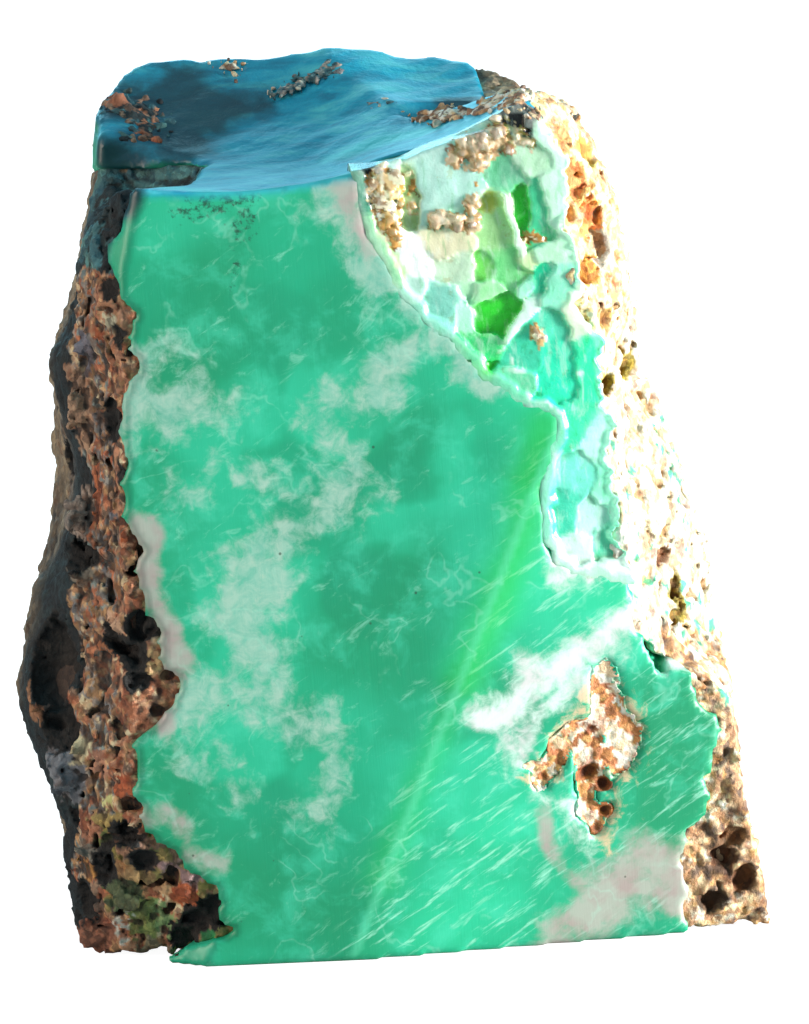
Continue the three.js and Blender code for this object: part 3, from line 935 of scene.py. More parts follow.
# Druse along lines: start and end, depth, spread, smallest and largest grain, how many, tints.
pocket_random = np.random.default_rng(21)
for start, end, depth, spread, (smallest, largest), number_of_grains, tints in (
    ((0.481, 0.911), (0.467, 0.878), 0.45, 0.42, (0.14, 0.34), 150, GOLD),
    ((0.467, 0.878), (0.483, 0.845), 0.45, 0.42, (0.14, 0.34), 170, GOLD),
    ((0.483, 0.845), (0.490, 0.830), 0.4, 0.25, (0.12, 0.28), 50, GOLD),
    ((0.503, 0.909), (0.505, 0.862), 0.9, 0.4, (0.12, 0.26), 50, GOLD),
    ((0.561, 0.930), (0.594, 0.940), 0.6, 0.42, (0.15, 0.4), 110, CREAM),
    ((0.594, 0.940), (0.621, 0.951), 0.7, 0.45, (0.15, 0.4), 110, CREAM),
    ((0.621, 0.951), (0.650, 0.938), 0.9, 0.42, (0.15, 0.35), 80, np.concatenate([CREAM, OLIVE])),
    ((0.585, 0.918), (0.604, 0.930), 0.7, 0.28, (0.14, 0.32), 40, CREAM),
    ((0.584, 0.878), (0.579, 0.845), 0.6, 0.22, (0.12, 0.26), 60, CREAM),
    ((0.534, 0.859), (0.572, 0.854), 0.4, 0.2, (0.16, 0.34), 40, CREAM),
    ((0.585, 0.907), (0.586, 0.882), 0.9, 0.2, (0.12, 0.26), 30, GOLD),
    ((0.647, 0.833), (0.673, 0.833), 0.8, 0.14, (0.12, 0.24), 30, GOLD),
    ((0.661, 0.732), (0.673, 0.710), 0.5, 0.14, (0.12, 0.26), 24, GOLD),
):
    for _ in range(number_of_grains):
        along = pocket_random.random()
        across = start[0] + (end[0] - start[0]) * along
        up = start[1] + (end[1] - start[1]) * along
        centre = behind(across, up, depth) + pocket_random.normal(size=3) * spread * (1, 0.35, 1)
        tint = tints[pocket_random.integers(len(tints))]
        radii = random_radii(pocket_random, smallest, largest)
        pocket.block(centre, radii, pocket_random, tint, corners=6)
pocket.paint(index, facet_tint)
pocket_inside = np.minimum(corner_inside, pocket_back - pocket_saw)
over_crust = right_zone(pocket.x, pocket.y, pocket.z) - 0.4
sloping_rim = pocket_cover + 0.08 * (LIP - pocket_inside)
pocket_limits = (-POCKET_PROUD - pocket_saw, over_crust, sloping_rim)
close_shell(pocket, pocket_inside, pocket_cover, 4.6, pocket_limits, drop=0.0)

# ---- the rust patch on the second face: shallow, rough and pitted ----

PATCH_CELL = 0.14
PATCH_BED = 1.1
RUST_LIT = palette("f0d4b4", "e0b07c", "f4e4d0", "dc9c60", "cc8850", "f8f0e4")
RUST_LINES = [
    (1.3, [(0.672, 0.222), (0.695, 0.245), (0.735, 0.265), (0.755, 0.3), (0.75, 0.32)]),
    (1.5, [(0.755, 0.28), (0.775, 0.262), (0.765, 0.235), (0.735, 0.235)]),
    (1.1, [(0.735, 0.235), (0.735, 0.19), (0.742, 0.155)]),
    (0.7, [(0.655, 0.225), (0.685, 0.215)]),
]
patch = Grid(place(0.6, -0.02, 0.08), place(0.84, 0.2, 0.38), PATCH_CELL)
patch.copied_from(body)
index, points = patch.near(np.abs(patch.distance) < 1.2)
rust = np.max([near_line(warped(points, 0.5, 2.0, 40), line, width) for width, line in RUST_LINES], axis=0)
ragged = rust + 0.35 * rough_noise(points, 1.5, 3, seed=41)
rust_mask = fade_in(ragged, 0.42, 0.7)
rises, number = knobs(warped(points, 0.2, 0.7, 44), 0.75, seed=42)
patch.distance[index] += (rust_mask * (0.4 - 0.3 * rises)).astype(np.float32)
# Holes: across, up, radii.
for across, up, radii in (
    (0.731, 0.214, (0.75, 0.8, 0.5)),
    (0.75, 0.2, (0.5, 0.7, 0.5)),
    (0.752, 0.168, (0.45, 0.6, 0.4)),
    (0.672, 0.212, (0.35, 0.5, 0.3)),
    (0.735, 0.265, (0.35, 0.5, 0.3)),
    (0.76, 0.285, (0.3, 0.4, 0.35)),
    (0.715, 0.25, (0.25, 0.4, 0.25)),
    (0.74, 0.148, (0.3, 0.4, 0.25)),
):
    patch.hole(seen(across, up), radii, colour("a0602c"), tilted_axes(20))
patch_cover = patch.distance - 0.02
patch_inside = 7 * (sawn_depth(patch.x, patch.y, patch.z) + patch.distance - 0.06)
patch.paint(index, np.where((rust_mask > 0.3)[:, None], by_number(number, RUST_LIT), 0.0))
patch_limits = (0.03 - sawn_depth(patch.x, patch.y, patch.z),)
close_shell(patch, patch_inside, patch_cover, 1.5, patch_limits, drop=0.0)

# ---- druse on the top: grains along lines that are seen from the front ----

# The grains are set on the CAD stone, which is not quite the finished surface. Some of them stand just
# clear of it, and some are buried.

DRUSE_CELL = 0.15
druse = Grid(place(0.08, 0.0, 0.86), place(0.78, 0.86, 1.04), DRUSE_CELL)
druse.distance[:] = 3 * DRUSE_CELL
druse_random = np.random.default_rng(31)
# The knob's grains include near-black blues, painted shade.
KNOB = np.concatenate([EARTH, TEAL, SHADE, RUST[:2]])
FLECKS = np.concatenate([GREY, TEAL, PALE[:1]])
PIT_RIM = np.concatenate([TAN, EARTH, PALE])
# Lines: places, spread, smallest and largest grain, how many, tints.
for line, spread, (smallest, largest), number_of_grains, tints in (
    ([(0.15, 0.985), (0.165, 0.98)], 0.7, (0.5, 0.9), 14, KNOB),
    ([(0.145, 0.985), (0.17, 0.98), (0.165, 0.96)], 0.9, (0.15, 0.4), 320, KNOB),
    ([(0.34, 1.0), (0.371, 1.012)], 0.3, (0.1, 0.22), 70, FLECKS),
    ([(0.371, 1.012), (0.42, 1.03)], 0.4, (0.1, 0.28), 90, FLECKS),
    ([(0.513, 0.98), (0.535, 0.973), (0.56, 0.972)], 0.5, (0.12, 0.35), 150, PIT_RIM),
    ([(0.592, 0.98), (0.625, 0.988), (0.65, 0.975)], 0.6, (0.12, 0.3), 260, PIT_RIM),
    ([(0.46, 0.986), (0.485, 0.986)], 0.3, (0.1, 0.2), 24, FLECKS),
    ([(0.27, 1.03), (0.3, 1.03)], 0.4, (0.12, 0.25), 30, PIT_RIM),
):
    corners = [seen(across, up) for across, up in line]
    for _ in range(number_of_grains):
        part = druse_random.random() * (len(corners) - 1)
        start = int(part)
        x, y, _ = corners[start] + (corners[start + 1] - corners[start]) * (part - start)
        x, y = (x, y) + druse_random.normal(size=2) * spread
        radii = random_radii(druse_random, smallest, largest) * (1, 1, 0.7)
        ground = cad_tree.ray_cast(Vector((x, y, high[2] + 9)), Vector((0, 0, -1)))[0]
        tint = tints[druse_random.integers(len(tints))]
        if ground:
            druse.block((x, y, ground.z - 0.4 * radii.min()), radii, druse_random, tint, corners=6)

# ---- the stone itself, with beds for the crusts, the pocket and the patch ----

stone = Grid(low - MARGIN, high + MARGIN, BODY_CELL)
stone.distance = body.distance.copy()

# Ripples of the break on the top.
index, points = stone.near((np.abs(stone.distance) < 1.5) & (on_top > 0) & (stone.z > place(0, 0, 0.87)[2]))
along = points @ np.array([0.82, 0.57, 0.0])
aside = points @ np.array([-0.57, 0.82, 0.0])
rippled = np.stack([along / 3.5, aside, points[:, 2]], axis=1)
ripples = 0.16 * noise(rippled, 1.8, 51) + 0.06 * noise(rippled, 0.9, 52) + 0.3 * noise(points, 6.0, 53)
ripples *= fade_in(sawn_depth(*points.T), 0.3, 1.5)
stone.distance[index] -= ripples * on_top[index[0], 0, index[2]]

# Crust on the back.
crusted = fade_in(stone.y, place(0, 0.7, 0)[1], place(0, 0.76, 0)[1]) * fade_in(
    stone.z, place(0, 0, 0.97)[2], place(0, 0, 0.94)[2]
)
crusted = np.broadcast_to(crusted, stone.distance.shape)
index, points = stone.near((np.abs(stone.distance) < 2.0) & (crusted > 0))
moved = warped(points, 0.6, 2.2, 7)
height = facets(moved, 5.0, 0.6, 0.25, seed=9)
small_height, number = knobs(moved, 2.0, seed=10)
height += 0.6 * small_height + 0.2 * rough_noise(points, 2.0, 2, seed=17) - 0.4
stone.distance[index] -= height * crusted[index]
caves = noise(points, 2.4, 18)
stone.distance[index] = np.maximum(stone.distance[index], (caves - 0.6) * 1.2)
stone.paint(index, rock_tint(points, number))


def sampled(grid, values, elsewhere):
    """Values of a small fine grid at the cells of the stone's grid."""
    spots = [
        np.flatnonzero((steps >= fine[0]) & (steps <= fine[-1]))
        for steps, fine in zip(stone.steps, grid.steps)
    ]
    part = tuple(slice(s[0], s[-1] + 1) for s in spots)
    places = np.stack(np.meshgrid(*(stone.steps[a][part[a]] for a in range(3)), indexing="ij"), axis=-1)
    result = np.full(stone.distance.shape, elsewhere, dtype=np.float32)
    result[part] = grid.at(values, places.reshape(-1, 3)).reshape(places.shape[:3])
    return result


left_bed = left_zone(stone.x, stone.y, stone.z)
right_bed = right_zone(stone.x, stone.y, stone.z)
for bed, code in ((left_bed, "3c2e26"), (right_bed, "c4a882")):
    index, points = stone.near((bed > 0.3) & (np.abs(stone.distance) < 3.0))
    stone.tint[index] = colour(code)
sink(stone, left_bed, LEFT_BED)
sink(stone, right_bed, RIGHT_BED)
sink(stone, 2 * (sampled(pocket, pocket_inside, -1.0) - LIP + 0.05), POCKET_BED)
sink(stone, 2 * (sampled(patch, patch_inside, -1.0) - LIP), PATCH_BED)
for limit in (low[1] - stone.y, low[2] - stone.z, second_distance(stone.x, stone.y, stone.z)):
    stone.distance = np.maximum(stone.distance, limit)


def may_go(points):
    """The points of the stone that a coarser surface can lose: under the crusts, behind and below."""
    x, y, z = points.T
    beneath = np.maximum(left_zone(x, y, z), right_zone(x, y, z)) > 0.4
    return beneath | (y > place(0, 0.5, 0)[1]) | (z < low[2] + 0.05)


# ---- where each colour lies ----

# Each marking: strength, width, wander and the line of (across, up) places that it follows.
MARKINGS = {
    "cloud": [
        (0.95, 3.4, 1.5, [(0.13, 0.67), (0.18, 0.675), (0.215, 0.65)]),
        (0.9, 2.0, 1.6, [(0.49, 0.69), (0.42, 0.66), (0.4, 0.62), (0.44, 0.59), (0.4, 0.54), (0.34, 0.49)]),
        (1.0, 2.6, 1.6, [(0.34, 0.49), (0.29, 0.45), (0.28, 0.41), (0.31, 0.37)]),
        (0.9, 2.4, 1.5, [(0.3, 0.38), (0.25, 0.33), (0.2, 0.31), (0.17, 0.33)]),
        (0.85, 2.2, 1.5, [(0.3, 0.33), (0.37, 0.29), (0.41, 0.23), (0.38, 0.18)]),
        (0.7, 1.8, 1.4, [(0.2, 0.56), (0.28, 0.58), (0.36, 0.55)]),
        (1.0, 2.0, 1.0, [(0.4, 0.89), (0.44, 0.85), (0.48, 0.79)]),
        (0.95, 1.8, 1.2, [(0.51, 0.76), (0.54, 0.72), (0.6, 0.68)]),
        (0.6, 1.6, 1.0, [(0.44, 0.59), (0.47, 0.54), (0.43, 0.52)]),
        (0.6, 2.4, 1.5, [(0.2, 0.25), (0.27, 0.22), (0.33, 0.18)]),
    ],
    "grey": [
        (0.9, 1.7, 0.6, [(0.42, 0.905), (0.435, 0.88), (0.455, 0.84)]),
        (0.95, 1.3, 0.7, [(0.155, 0.52), (0.17, 0.46), (0.19, 0.4), (0.2, 0.35), (0.18, 0.3)]),
        (0.9, 3.0, 1.5, [(0.7, 0.02), (0.76, 0.09), (0.82, 0.1), (0.87, 0.04)]),
        (0.7, 1.6, 1.0, [(0.14, 0.18), (0.2, 0.17), (0.24, 0.13)]),
        (0.8, 1.0, 0.5, [(0.67, 0.17), (0.68, 0.12), (0.72, 0.08)]),
    ],
    "deep": [
        (2.2, 3.0, 1.0, [(0.84, 0.27), (0.86, 0.2), (0.85, 0.16)]),
        (1.0, 3.0, 1.0, [(0.85, 0.27), (0.88, 0.2), (0.84, 0.16)]),
        (0.9, 4.0, 2.0, [(0.25, 0.8), (0.23, 0.7)]),
        (0.9, 3.6, 2.0, [(0.5, 0.44), (0.48, 0.33), (0.42, 0.38)]),
        (1.0, 3.4, 2.0, [(0.16, 0.24), (0.23, 0.12), (0.34, 0.08), (0.42, 0.05)]),
        (0.6, 3.0, 1.5, [(0.42, 0.76), (0.5, 0.6)]),
        (0.8, 2.6, 1.2, [(0.15, 0.58), (0.2, 0.5)]),
    ],
    "glow": [
        (1.0, 1.5, 0.3, [(0.675, 0.62), (0.655, 0.56), (0.635, 0.47), (0.605, 0.4), (0.57, 0.33)]),
        (0.5, 1.2, 0.3, [(0.57, 0.33), (0.52, 0.23), (0.46, 0.1)]),
    ],
    "bright": [
        (0.9, 4.5, 1.2, [(0.65, 0.67), (0.75, 0.62)]),
        (0.8, 2.6, 1.0, [(0.64, 0.42), (0.7, 0.45), (0.77, 0.42)]),
        (0.5, 4.0, 1.5, [(0.6, 0.14), (0.56, 0.05)]),
    ],
    "dendrite": [
        (1.0, 1.3, 0.8, [(0.22, 0.875), (0.27, 0.882), (0.31, 0.885), (0.29, 0.85)]),
        (0.8, 0.8, 0.5, [(0.29, 0.84), (0.28, 0.78)]),
    ],
    "frost": [
        (0.75, 2.0, 1.2, [(0.64, 0.25), (0.67, 0.29), (0.72, 0.33)]),
        (0.6, 1.2, 0.8, [(0.66, 0.19), (0.71, 0.17), (0.73, 0.13)]),
        (1.0, 1.6, 0.8, [(0.6, 0.285), (0.66, 0.325), (0.72, 0.36), (0.79, 0.4)]),
        (0.95, 1.6, 0.8, [(0.69, 0.56), (0.75, 0.53), (0.77, 0.47), (0.7, 0.455)]),
        (0.8, 1.2, 0.6, [(0.83, 0.34), (0.87, 0.33), (0.93, 0.325)]),
    ],
    "stain": [
        (0.9, 2.0, 1.0, [(0.66, 0.21), (0.7, 0.245), (0.74, 0.31)]),
        (0.8, 2.0, 1.0, [(0.78, 0.29), (0.78, 0.22), (0.755, 0.14)]),
        (0.5, 1.2, 0.8, [(0.3, 0.44), (0.33, 0.49)]),
    ],
    # Painted highlight where the top's front rim catches the light.
    "lip": [
        (0.9, 1.8, 0.5, [(0.42, 0.93), (0.47, 0.945), (0.52, 0.955)]),
        (1.0, 1.1, 0.3, [(0.12, 0.905), (0.18, 0.902), (0.26, 0.893), (0.32, 0.893), (0.4, 0.9),
                         (0.47, 0.915)]),
    ],
    # Painted shadow: the top's left hollow, the upper-left bevel and a pit on the top.
    "shade": [
        (1.5, 1.9, 0.6, [(0.09, 0.91), (0.102, 0.86), (0.108, 0.81)]),
        (1.2, 1.6, 0.5, [(0.157, 0.9), (0.13, 0.87), (0.115, 0.83)]),
        (1.1, 1.3, 0.3, [(0.555, 0.99), (0.585, 0.99)]),
        (1.0, 4.5, 1.2, [(0.17, 0.985), (0.23, 1.0), (0.27, 0.985), (0.22, 0.955)]),
        (1.0, 1.6, 0.6, [(0.13, 0.94), (0.17, 0.93)]),
    ],
}


def fields_of(skin):
    """The attributes that steer the material, one value for each point."""
    points = skin.points
    fields = {}
    drift = np.stack([rough_noise(points, 4.0, 2, seed) for seed in (1, 6, 11)], axis=1)
    for name, lines in MARKINGS.items():
        total = np.zeros(len(points))
        for strength, width, wander, line in lines:
            total = np.maximum(total, strength * near_line(points + wander * drift, line, width))
        fields[name] = total
    share = (points - low) / size
    from_front, from_second = np.abs(points[:, 1] - low[1]), np.abs(second_distance(*points.T))
    sawn_gap = np.minimum(np.minimum(from_front, from_second), points[:, 2] - low[2])
    fields["sawn"] = 1 - fade_in(sawn_gap, 0.01, 0.035)
    fields["second"] = 1 - fade_in(from_second, 0.05, 0.3)
    fields["ridge"] = 1 - fade_in(np.maximum(from_front, from_second), 0.02, 0.06)
    fields["top"] = (
        fade_in(share[:, 2], 0.84, 0.88)
        * fade_in(skin.normals[:, 2], 0.1, 0.4)
        * fade_in(share[:, 0], 0.8, 0.74)
    )
    fields["bend"] = skin.bend
    return fields


def add_piece(name, skin, material):
    """Makes the mesh object, which rides on the root and stands for the CAD stone."""
    mesh = new_mesh(name, skin.points, skin.triangles)
    for field, values in fields_of(skin).items():
        attribute = mesh.attributes.new(field, "FLOAT", "POINT")
        attribute.data.foreach_set("value", values.astype(np.float32))
    tint = mesh.attributes.new("tint", "FLOAT_COLOR", "POINT")
    tint.data.foreach_set("color", skin.tint.astype(np.float32).ravel())
    mesh.shade_smooth()
    mesh.materials.append(material)
    piece = bpy.data.objects.new(name, mesh)
    bpy.context.collection.objects.link(piece)
    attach(piece, "root")
    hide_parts(NODE)
    print(name, len(skin.triangles), "triangles")


# ---- shader nodes ----


class Nodes:
    """Short ways to add shader nodes and link them."""

    def __init__(self, name):
        self.material = bpy.data.materials.new(name)
        self.material.use_nodes = True
        self.tree = self.material.node_tree
        self.tree.nodes.clear()
        self.coordinates = self.tree.nodes.new("ShaderNodeTexCoord").outputs["Object"]

    def put(self, socket, value):
        if isinstance(value, bpy.types.NodeSocket):
            self.tree.links.new(value, socket)
        else:
            socket.default_value = value

    def field(self, name, output="Fac"):
        node = self.tree.nodes.new("ShaderNodeAttribute")
        node.attribute_name = name
        return node.outputs[output]

    def math(self, operation, a, b=0.0):
        node = self.tree.nodes.new("ShaderNodeMath")
        node.operation = operation
        self.put(node.inputs[0], a)
        self.put(node.inputs[1], b)
        return node.outputs[0]

    def add(self, a, b):
        return self.math("ADD", a, b)

    def times(self, a, b):
        return self.math("MULTIPLY", a, b)

    def spread(self, value, amount):
        """A noise made into a value around 0."""
        return self.times(self.add(value, -0.5), amount)

    def fade(self, value, start, end):
        """0 at start and 1 at end, smooth between."""
        node = self.tree.nodes.new("ShaderNodeMapRange")
        node.interpolation_type = "SMOOTHSTEP"
        self.put(node.inputs["Value"], value)
        reverse = start > end
        node.inputs["From Min"].default_value = min(start, end)
        node.inputs["From Max"].default_value = max(start, end)
        node.inputs["To Min"].default_value = 1.0 if reverse else 0.0
        node.inputs["To Max"].default_value = 0.0 if reverse else 1.0
        return node.outputs["Result"]

    def stretch(self, factors, turn_deg=0.0):
        """Coordinates in which a pattern is drawn out, along axes turned in the front plane."""
        node = self.tree.nodes.new("ShaderNodeMapping")
        node.vector_type = "TEXTURE"
        self.put(node.inputs["Vector"], self.coordinates)
        node.inputs["Rotation"].default_value = (0.0, math.radians(-turn_deg), 0.0)
        node.inputs["Scale"].default_value = factors
        return node.outputs["Vector"]

    def moved(self, amount, spacing):
        """Coordinates moved about by noise, both in mm."""
        node = self.tree.nodes.new("ShaderNodeTexNoise")
        self.put(node.inputs["Vector"], self.coordinates)
        node.inputs["Scale"].default_value = 1 / (spacing * MM)
        node.inputs["Detail"].default_value = 3.0
        shift = self.tree.nodes.new("ShaderNodeVectorMath")
        shift.operation = "MULTIPLY_ADD"
        self.put(shift.inputs[0], node.outputs["Color"])
        shift.inputs[1].default_value = (2 * amount * MM,) * 3
        self.put(shift.inputs[2], self.coordinates)
        return shift.outputs["Vector"]

    def noise(self, spacing, detail=4.0, rough=0.5, distort=0.0, vector=None):
        """Noise that changes over a spacing in mm."""
        node = self.tree.nodes.new("ShaderNodeTexNoise")
        self.put(node.inputs["Vector"], vector or self.coordinates)
        node.inputs["Scale"].default_value = 1 / (spacing * MM)
        node.inputs["Detail"].default_value = detail
        node.inputs["Roughness"].default_value = rough
        node.inputs["Distortion"].default_value = distort
        return node.outputs["Fac"]

    def cells(self, spacing, vector, output="Color", feature="SMOOTH_F1"):
        """Cells a spacing in mm apart: a random tone in each, or the distance from its middle."""
        node = self.tree.nodes.new("ShaderNodeTexVoronoi")
        node.feature = feature
        self.put(node.inputs["Vector"], vector)
        node.inputs["Scale"].default_value = 1 / (spacing * MM)
        if feature == "SMOOTH_F1":
            node.inputs["Smoothness"].default_value = 0.35
        return node.outputs[output]

    def mix(self, amount, a, b, blend="MIX"):
        node = self.tree.nodes.new("ShaderNodeMix")
        node.data_type = "RGBA"
        node.blend_type = blend
        self.put(node.inputs[0], amount)
        self.put(node.inputs[6], a)
        self.put(node.inputs[7], b)
        return node.outputs[2]

    def steps(self, value, stops):
        """A colour for each value: stops are (value, sRGB code) pairs."""
        node = self.tree.nodes.new("ShaderNodeValToRGB")
        self.put(node.inputs["Fac"], value)
        ramp = node.color_ramp
        while len(ramp.elements) < len(stops):
            ramp.elements.new(0.5)
        for element, (position, code) in zip(ramp.elements, stops):
            element.position = position
            element.color = colour(code)
        return node.outputs["Color"]

    def bump(self, height, depth, normal=None):
        """Raises the surface by a height from 0 to 1 times a depth in mm."""
        node = self.tree.nodes.new("ShaderNodeBump")
        node.inputs["Distance"].default_value = depth * MM
        node.inputs["Strength"].default_value = 1.0
        self.put(node.inputs["Height"], height)
        if normal is not None:
            self.put(node.inputs["Normal"], normal)
        return node.outputs["Normal"]

    def finish(self, surface, roughness, normal, glow_depth, glow):
        """Ends in a Principled shader, with light spread below the surface over a depth in mm."""
        shader = self.tree.nodes.new("ShaderNodeBsdfPrincipled")
        output = self.tree.nodes.new("ShaderNodeOutputMaterial")
        self.put(shader.inputs["Base Color"], surface)
        self.put(shader.inputs["Roughness"], roughness)
        self.put(shader.inputs["Normal"], normal)
        shader.subsurface_method = "BURLEY"
        shader.inputs["Subsurface Weight"].default_value = glow
        shader.inputs["Subsurface Radius"].default_value = (0.5, 1.0, 0.8)
        shader.inputs["Subsurface Scale"].default_value = glow_depth * MM
        shader.inputs["IOR"].default_value = 1.54
        self.put(output.inputs["Surface"], shader.outputs["BSDF"])
        return self.material


def crust_colour(n, hollow_shade_code):
    """The tint of each lump, stained and grainy, with painted shade that darkens the hollows."""
    grain = n.noise(0.4, 4.0, 0.7)
    stain = n.noise(1.6, 4.0, 0.65)
    stained = n.times(n.fade(stain, 0.5, 0.66), 0.6)
    tinted = n.mix(stained, n.field("tint", "Color"), colour("b07448"), "MULTIPLY")
    speck = n.cells(0.42, n.moved(0.25, 0.5), feature="F1")
    specks = n.steps(speck, [(0.2, "4c4038"), (0.5, "a09890"), (0.8, "f8f0e4")])
    tinted = n.mix(0.42, tinted, specks, "OVERLAY")
    tinted = n.mix(n.times(n.fade(grain, 0.5, 0.72), 0.5), tinted, colour("f8eee2"), "SOFT_LIGHT")
    # Painted shade: darker where the surface bends inwards.
    hollow = n.fade(n.field("bend"), -0.01, -0.09)
    return n.mix(n.times(hollow, 0.8), tinted, colour(hollow_shade_code), "MULTIPLY"), grain


def crust_material(name, hollow_shade_code):
    """Rough crust, in the tints of its lumps, with painted shade in its hollows."""
    n = Nodes(name)
    surface, grain = crust_colour(n, hollow_shade_code)
    return n.finish(surface, n.add(0.6, n.times(grain, 0.3)), n.bump(grain, 0.22), 0.6, 0.0)


def crystal_material():
    """Glassy broken chalcedony: clear tints with milky veins, a painted highlight on the edges and painted
    shade in the creases.
    """
    n = Nodes("crystal")
    milk = n.noise(1.2, 5.0, 0.65, 0.6, n.stretch((0.6, 1.0, 2.0), 6))
    surface = n.mix(n.times(n.fade(milk, 0.5, 0.72), 0.4), n.field("tint", "Color"), colour("e4f4ec"))
    surface = n.mix(n.times(n.fade(milk, 0.46, 0.3), 0.4), surface, colour("70cc90"), "MULTIPLY")
    ochre = n.noise(1.1, 4.0, 0.7)
    surface = n.mix(n.times(n.fade(ochre, 0.6, 0.7), 0.35), surface, colour("d8b060"), "MULTIPLY")
    # Painted highlight: whiter where the surface bends outwards.
    edge = n.add(n.field("bend"), n.spread(n.noise(0.8, 3.0), 0.08))
    surface = n.mix(n.times(n.fade(edge, 0.06, 0.16), 0.16), surface, colour("ecfaf0"))
    # Painted shade: darker in the creases.
    painted_crease_shade = n.times(n.fade(n.field("bend"), -0.03, -0.16), 0.5)
    surface = n.mix(painted_crease_shade, surface, colour("6a9a50"), "MULTIPLY")
    fine = n.noise(0.6, 4.0, 0.6)
    return n.finish(surface, n.add(0.16, n.times(fine, 0.2)), n.bump(fine, 0.06), 1.5, 0.35)


def stone_material():
    """Green chalcedony with cream clouds, and the crust, base and top of the same stone."""
    n = Nodes("chalcedony")
    medium = n.noise(2.4, 5.0, 0.6, 0.4)
    fine = n.noise(0.5, 4.0, 0.6)
    lace = n.noise(1.1, 5.0, 0.68, 0.5)

    # Soft fields of darker and lighter green.
    tone = n.cells(6.0, n.moved(3.0, 6.0))
    tone = n.add(n.times(tone, 0.5), n.times(n.noise(9.0, 3.0), 0.5))
    green = n.steps(tone, [(0.3, "179a72"), (0.5, "1cac80"), (0.68, "2abf94")])
    green = n.mix(n.times(n.field("deep"), 0.85), green, colour("169466"))
    green = n.mix(n.times(n.field("bright"), 0.7), green, colour("2ad39c"))
    green = n.mix(n.times(n.fade(medium, 0.45, 0.72), 0.45), green, colour("4ad6b0"))

    # Fine pale wisps, short on the front and drawn out along the second face.
    wisp = n.noise(0.9, 5.0, 0.7, 0.6, n.stretch((2.6, 1.0, 1.0), 35))
    green = n.mix(n.times(n.fade(wisp, 0.57, 0.74), 0.4), green, colour("9fe6cc"))
    scratch = n.noise(0.42, 4.0, 0.65, 0.3, n.stretch((9.0, 1.0, 1.0), 32))
    scratch = n.times(n.fade(scratch, 0.54, 0.7), n.field("second"))
    green = n.mix(n.times(scratch, 0.5), green, colour("b4f2da"))

    # Cream clouds with lacy edges, and grey-pink and white bands.
    cloud_edge = n.add(n.field("cloud"), n.add(n.spread(medium, 1.5), n.spread(lace, 1.1)))
    cloud_tint = n.steps(lace, [(0.35, "7cbeaa"), (0.65, "b4d0c0")])
    green = n.mix(n.times(n.fade(cloud_edge, 0.35, 0.95), 0.8), green, cloud_tint)
    green = n.mix(n.times(n.field("glow"), 0.6), green, colour("1fc23e"))
    # Painted highlight: a pale line on the crest where the two sawn faces meet.
    green = n.mix(n.times(n.field("ridge"), 0.35), green, colour("6ae0b4"))
    grey_edge = n.add(n.field("grey"), n.add(n.spread(medium, 1.2), n.spread(lace, 0.6)))
    grey_tint = n.steps(n.noise(1.6, 3.0), [(0.35, "b09896"), (0.6, "b0b0a6")])
    green = n.mix(n.times(n.fade(grey_edge, 0.35, 0.9), 0.9), green, grey_tint)
    frost_edge = n.add(n.field("frost"), n.add(n.spread(medium, 1.0), n.spread(lace, 1.2)))
    frost_tint = n.steps(n.noise(2.0, 3.0), [(0.4, "e8dce0"), (0.6, "ecfcf4")])
    green = n.mix(n.times(n.fade(frost_edge, 0.3, 1.0), 0.85), green, frost_tint)
    stain_edge = n.add(n.field("stain"), n.spread(lace, 2.2))
    green = n.mix(n.times(n.fade(stain_edge, 0.6, 1.1), 0.8), green, colour("e8c49c"))
    dendrite_edge = n.add(n.field("dendrite"), n.spread(n.noise(0.5, 4.0, 0.72), 3.0))
    green = n.mix(n.times(n.fade(dendrite_edge, 0.75, 1.3), 0.85), green, colour("1c4030"))

    # Thin pale veins.
    vein = n.math("ABSOLUTE", n.spread(n.noise(7.0, 4.0, 0.5, 0.2), 1.0))
    vein = n.times(n.fade(vein, 0.012, 0.0), n.fade(medium, 0.4, 0.6))
    green = n.mix(n.times(vein, 0.2), green, colour("a8e8d0"))

    # Tiny dark specks.
    speck = n.cells(1.7, n.coordinates, "Distance", "F1")
    rare = n.fade(n.noise(2.2, 2.0), 0.55, 0.6)
    green = n.mix(n.times(n.times(n.fade(speck, 0.07, 0.04), rare), 0.7), green, colour("2c4030"))

    # The top: blue-teal, painted shade for green stone in shadow under a blue sky, paler along its front
    # lip as a painted highlight, and painted shadow in dark navy wherever the shade field lies.
    drawn = n.noise(1.3, 5.0, 0.62, 0.3, n.stretch((4.0, 1.5, 1.0)))
    top = n.steps(drawn, [(0.35, "0a7c98"), (0.5, "1298b4"), (0.68, "4cb8c0")])
    lip = n.fade(n.add(n.field("lip"), n.spread(medium, 0.6)), 0.3, 0.9)
    top = n.mix(n.times(lip, 0.6), top, colour("3cc4c0"))
    green = n.mix(n.field("top"), green, top)
    shade = n.fade(n.add(n.field("shade"), n.spread(medium, 0.8)), 0.3, 0.9)
    green = n.mix(n.times(shade, 0.94), green, colour("063642"))

    # Where the stone carries a tint it is crust, with painted shade in its hollows.
    crust, grain = crust_colour(n, "9a6844")
    tint_mask = n.fade(n.add(n.field("tint", "Alpha"), n.spread(fine, 0.5)), 0.4, 0.6)
    surface = n.mix(tint_mask, green, crust)

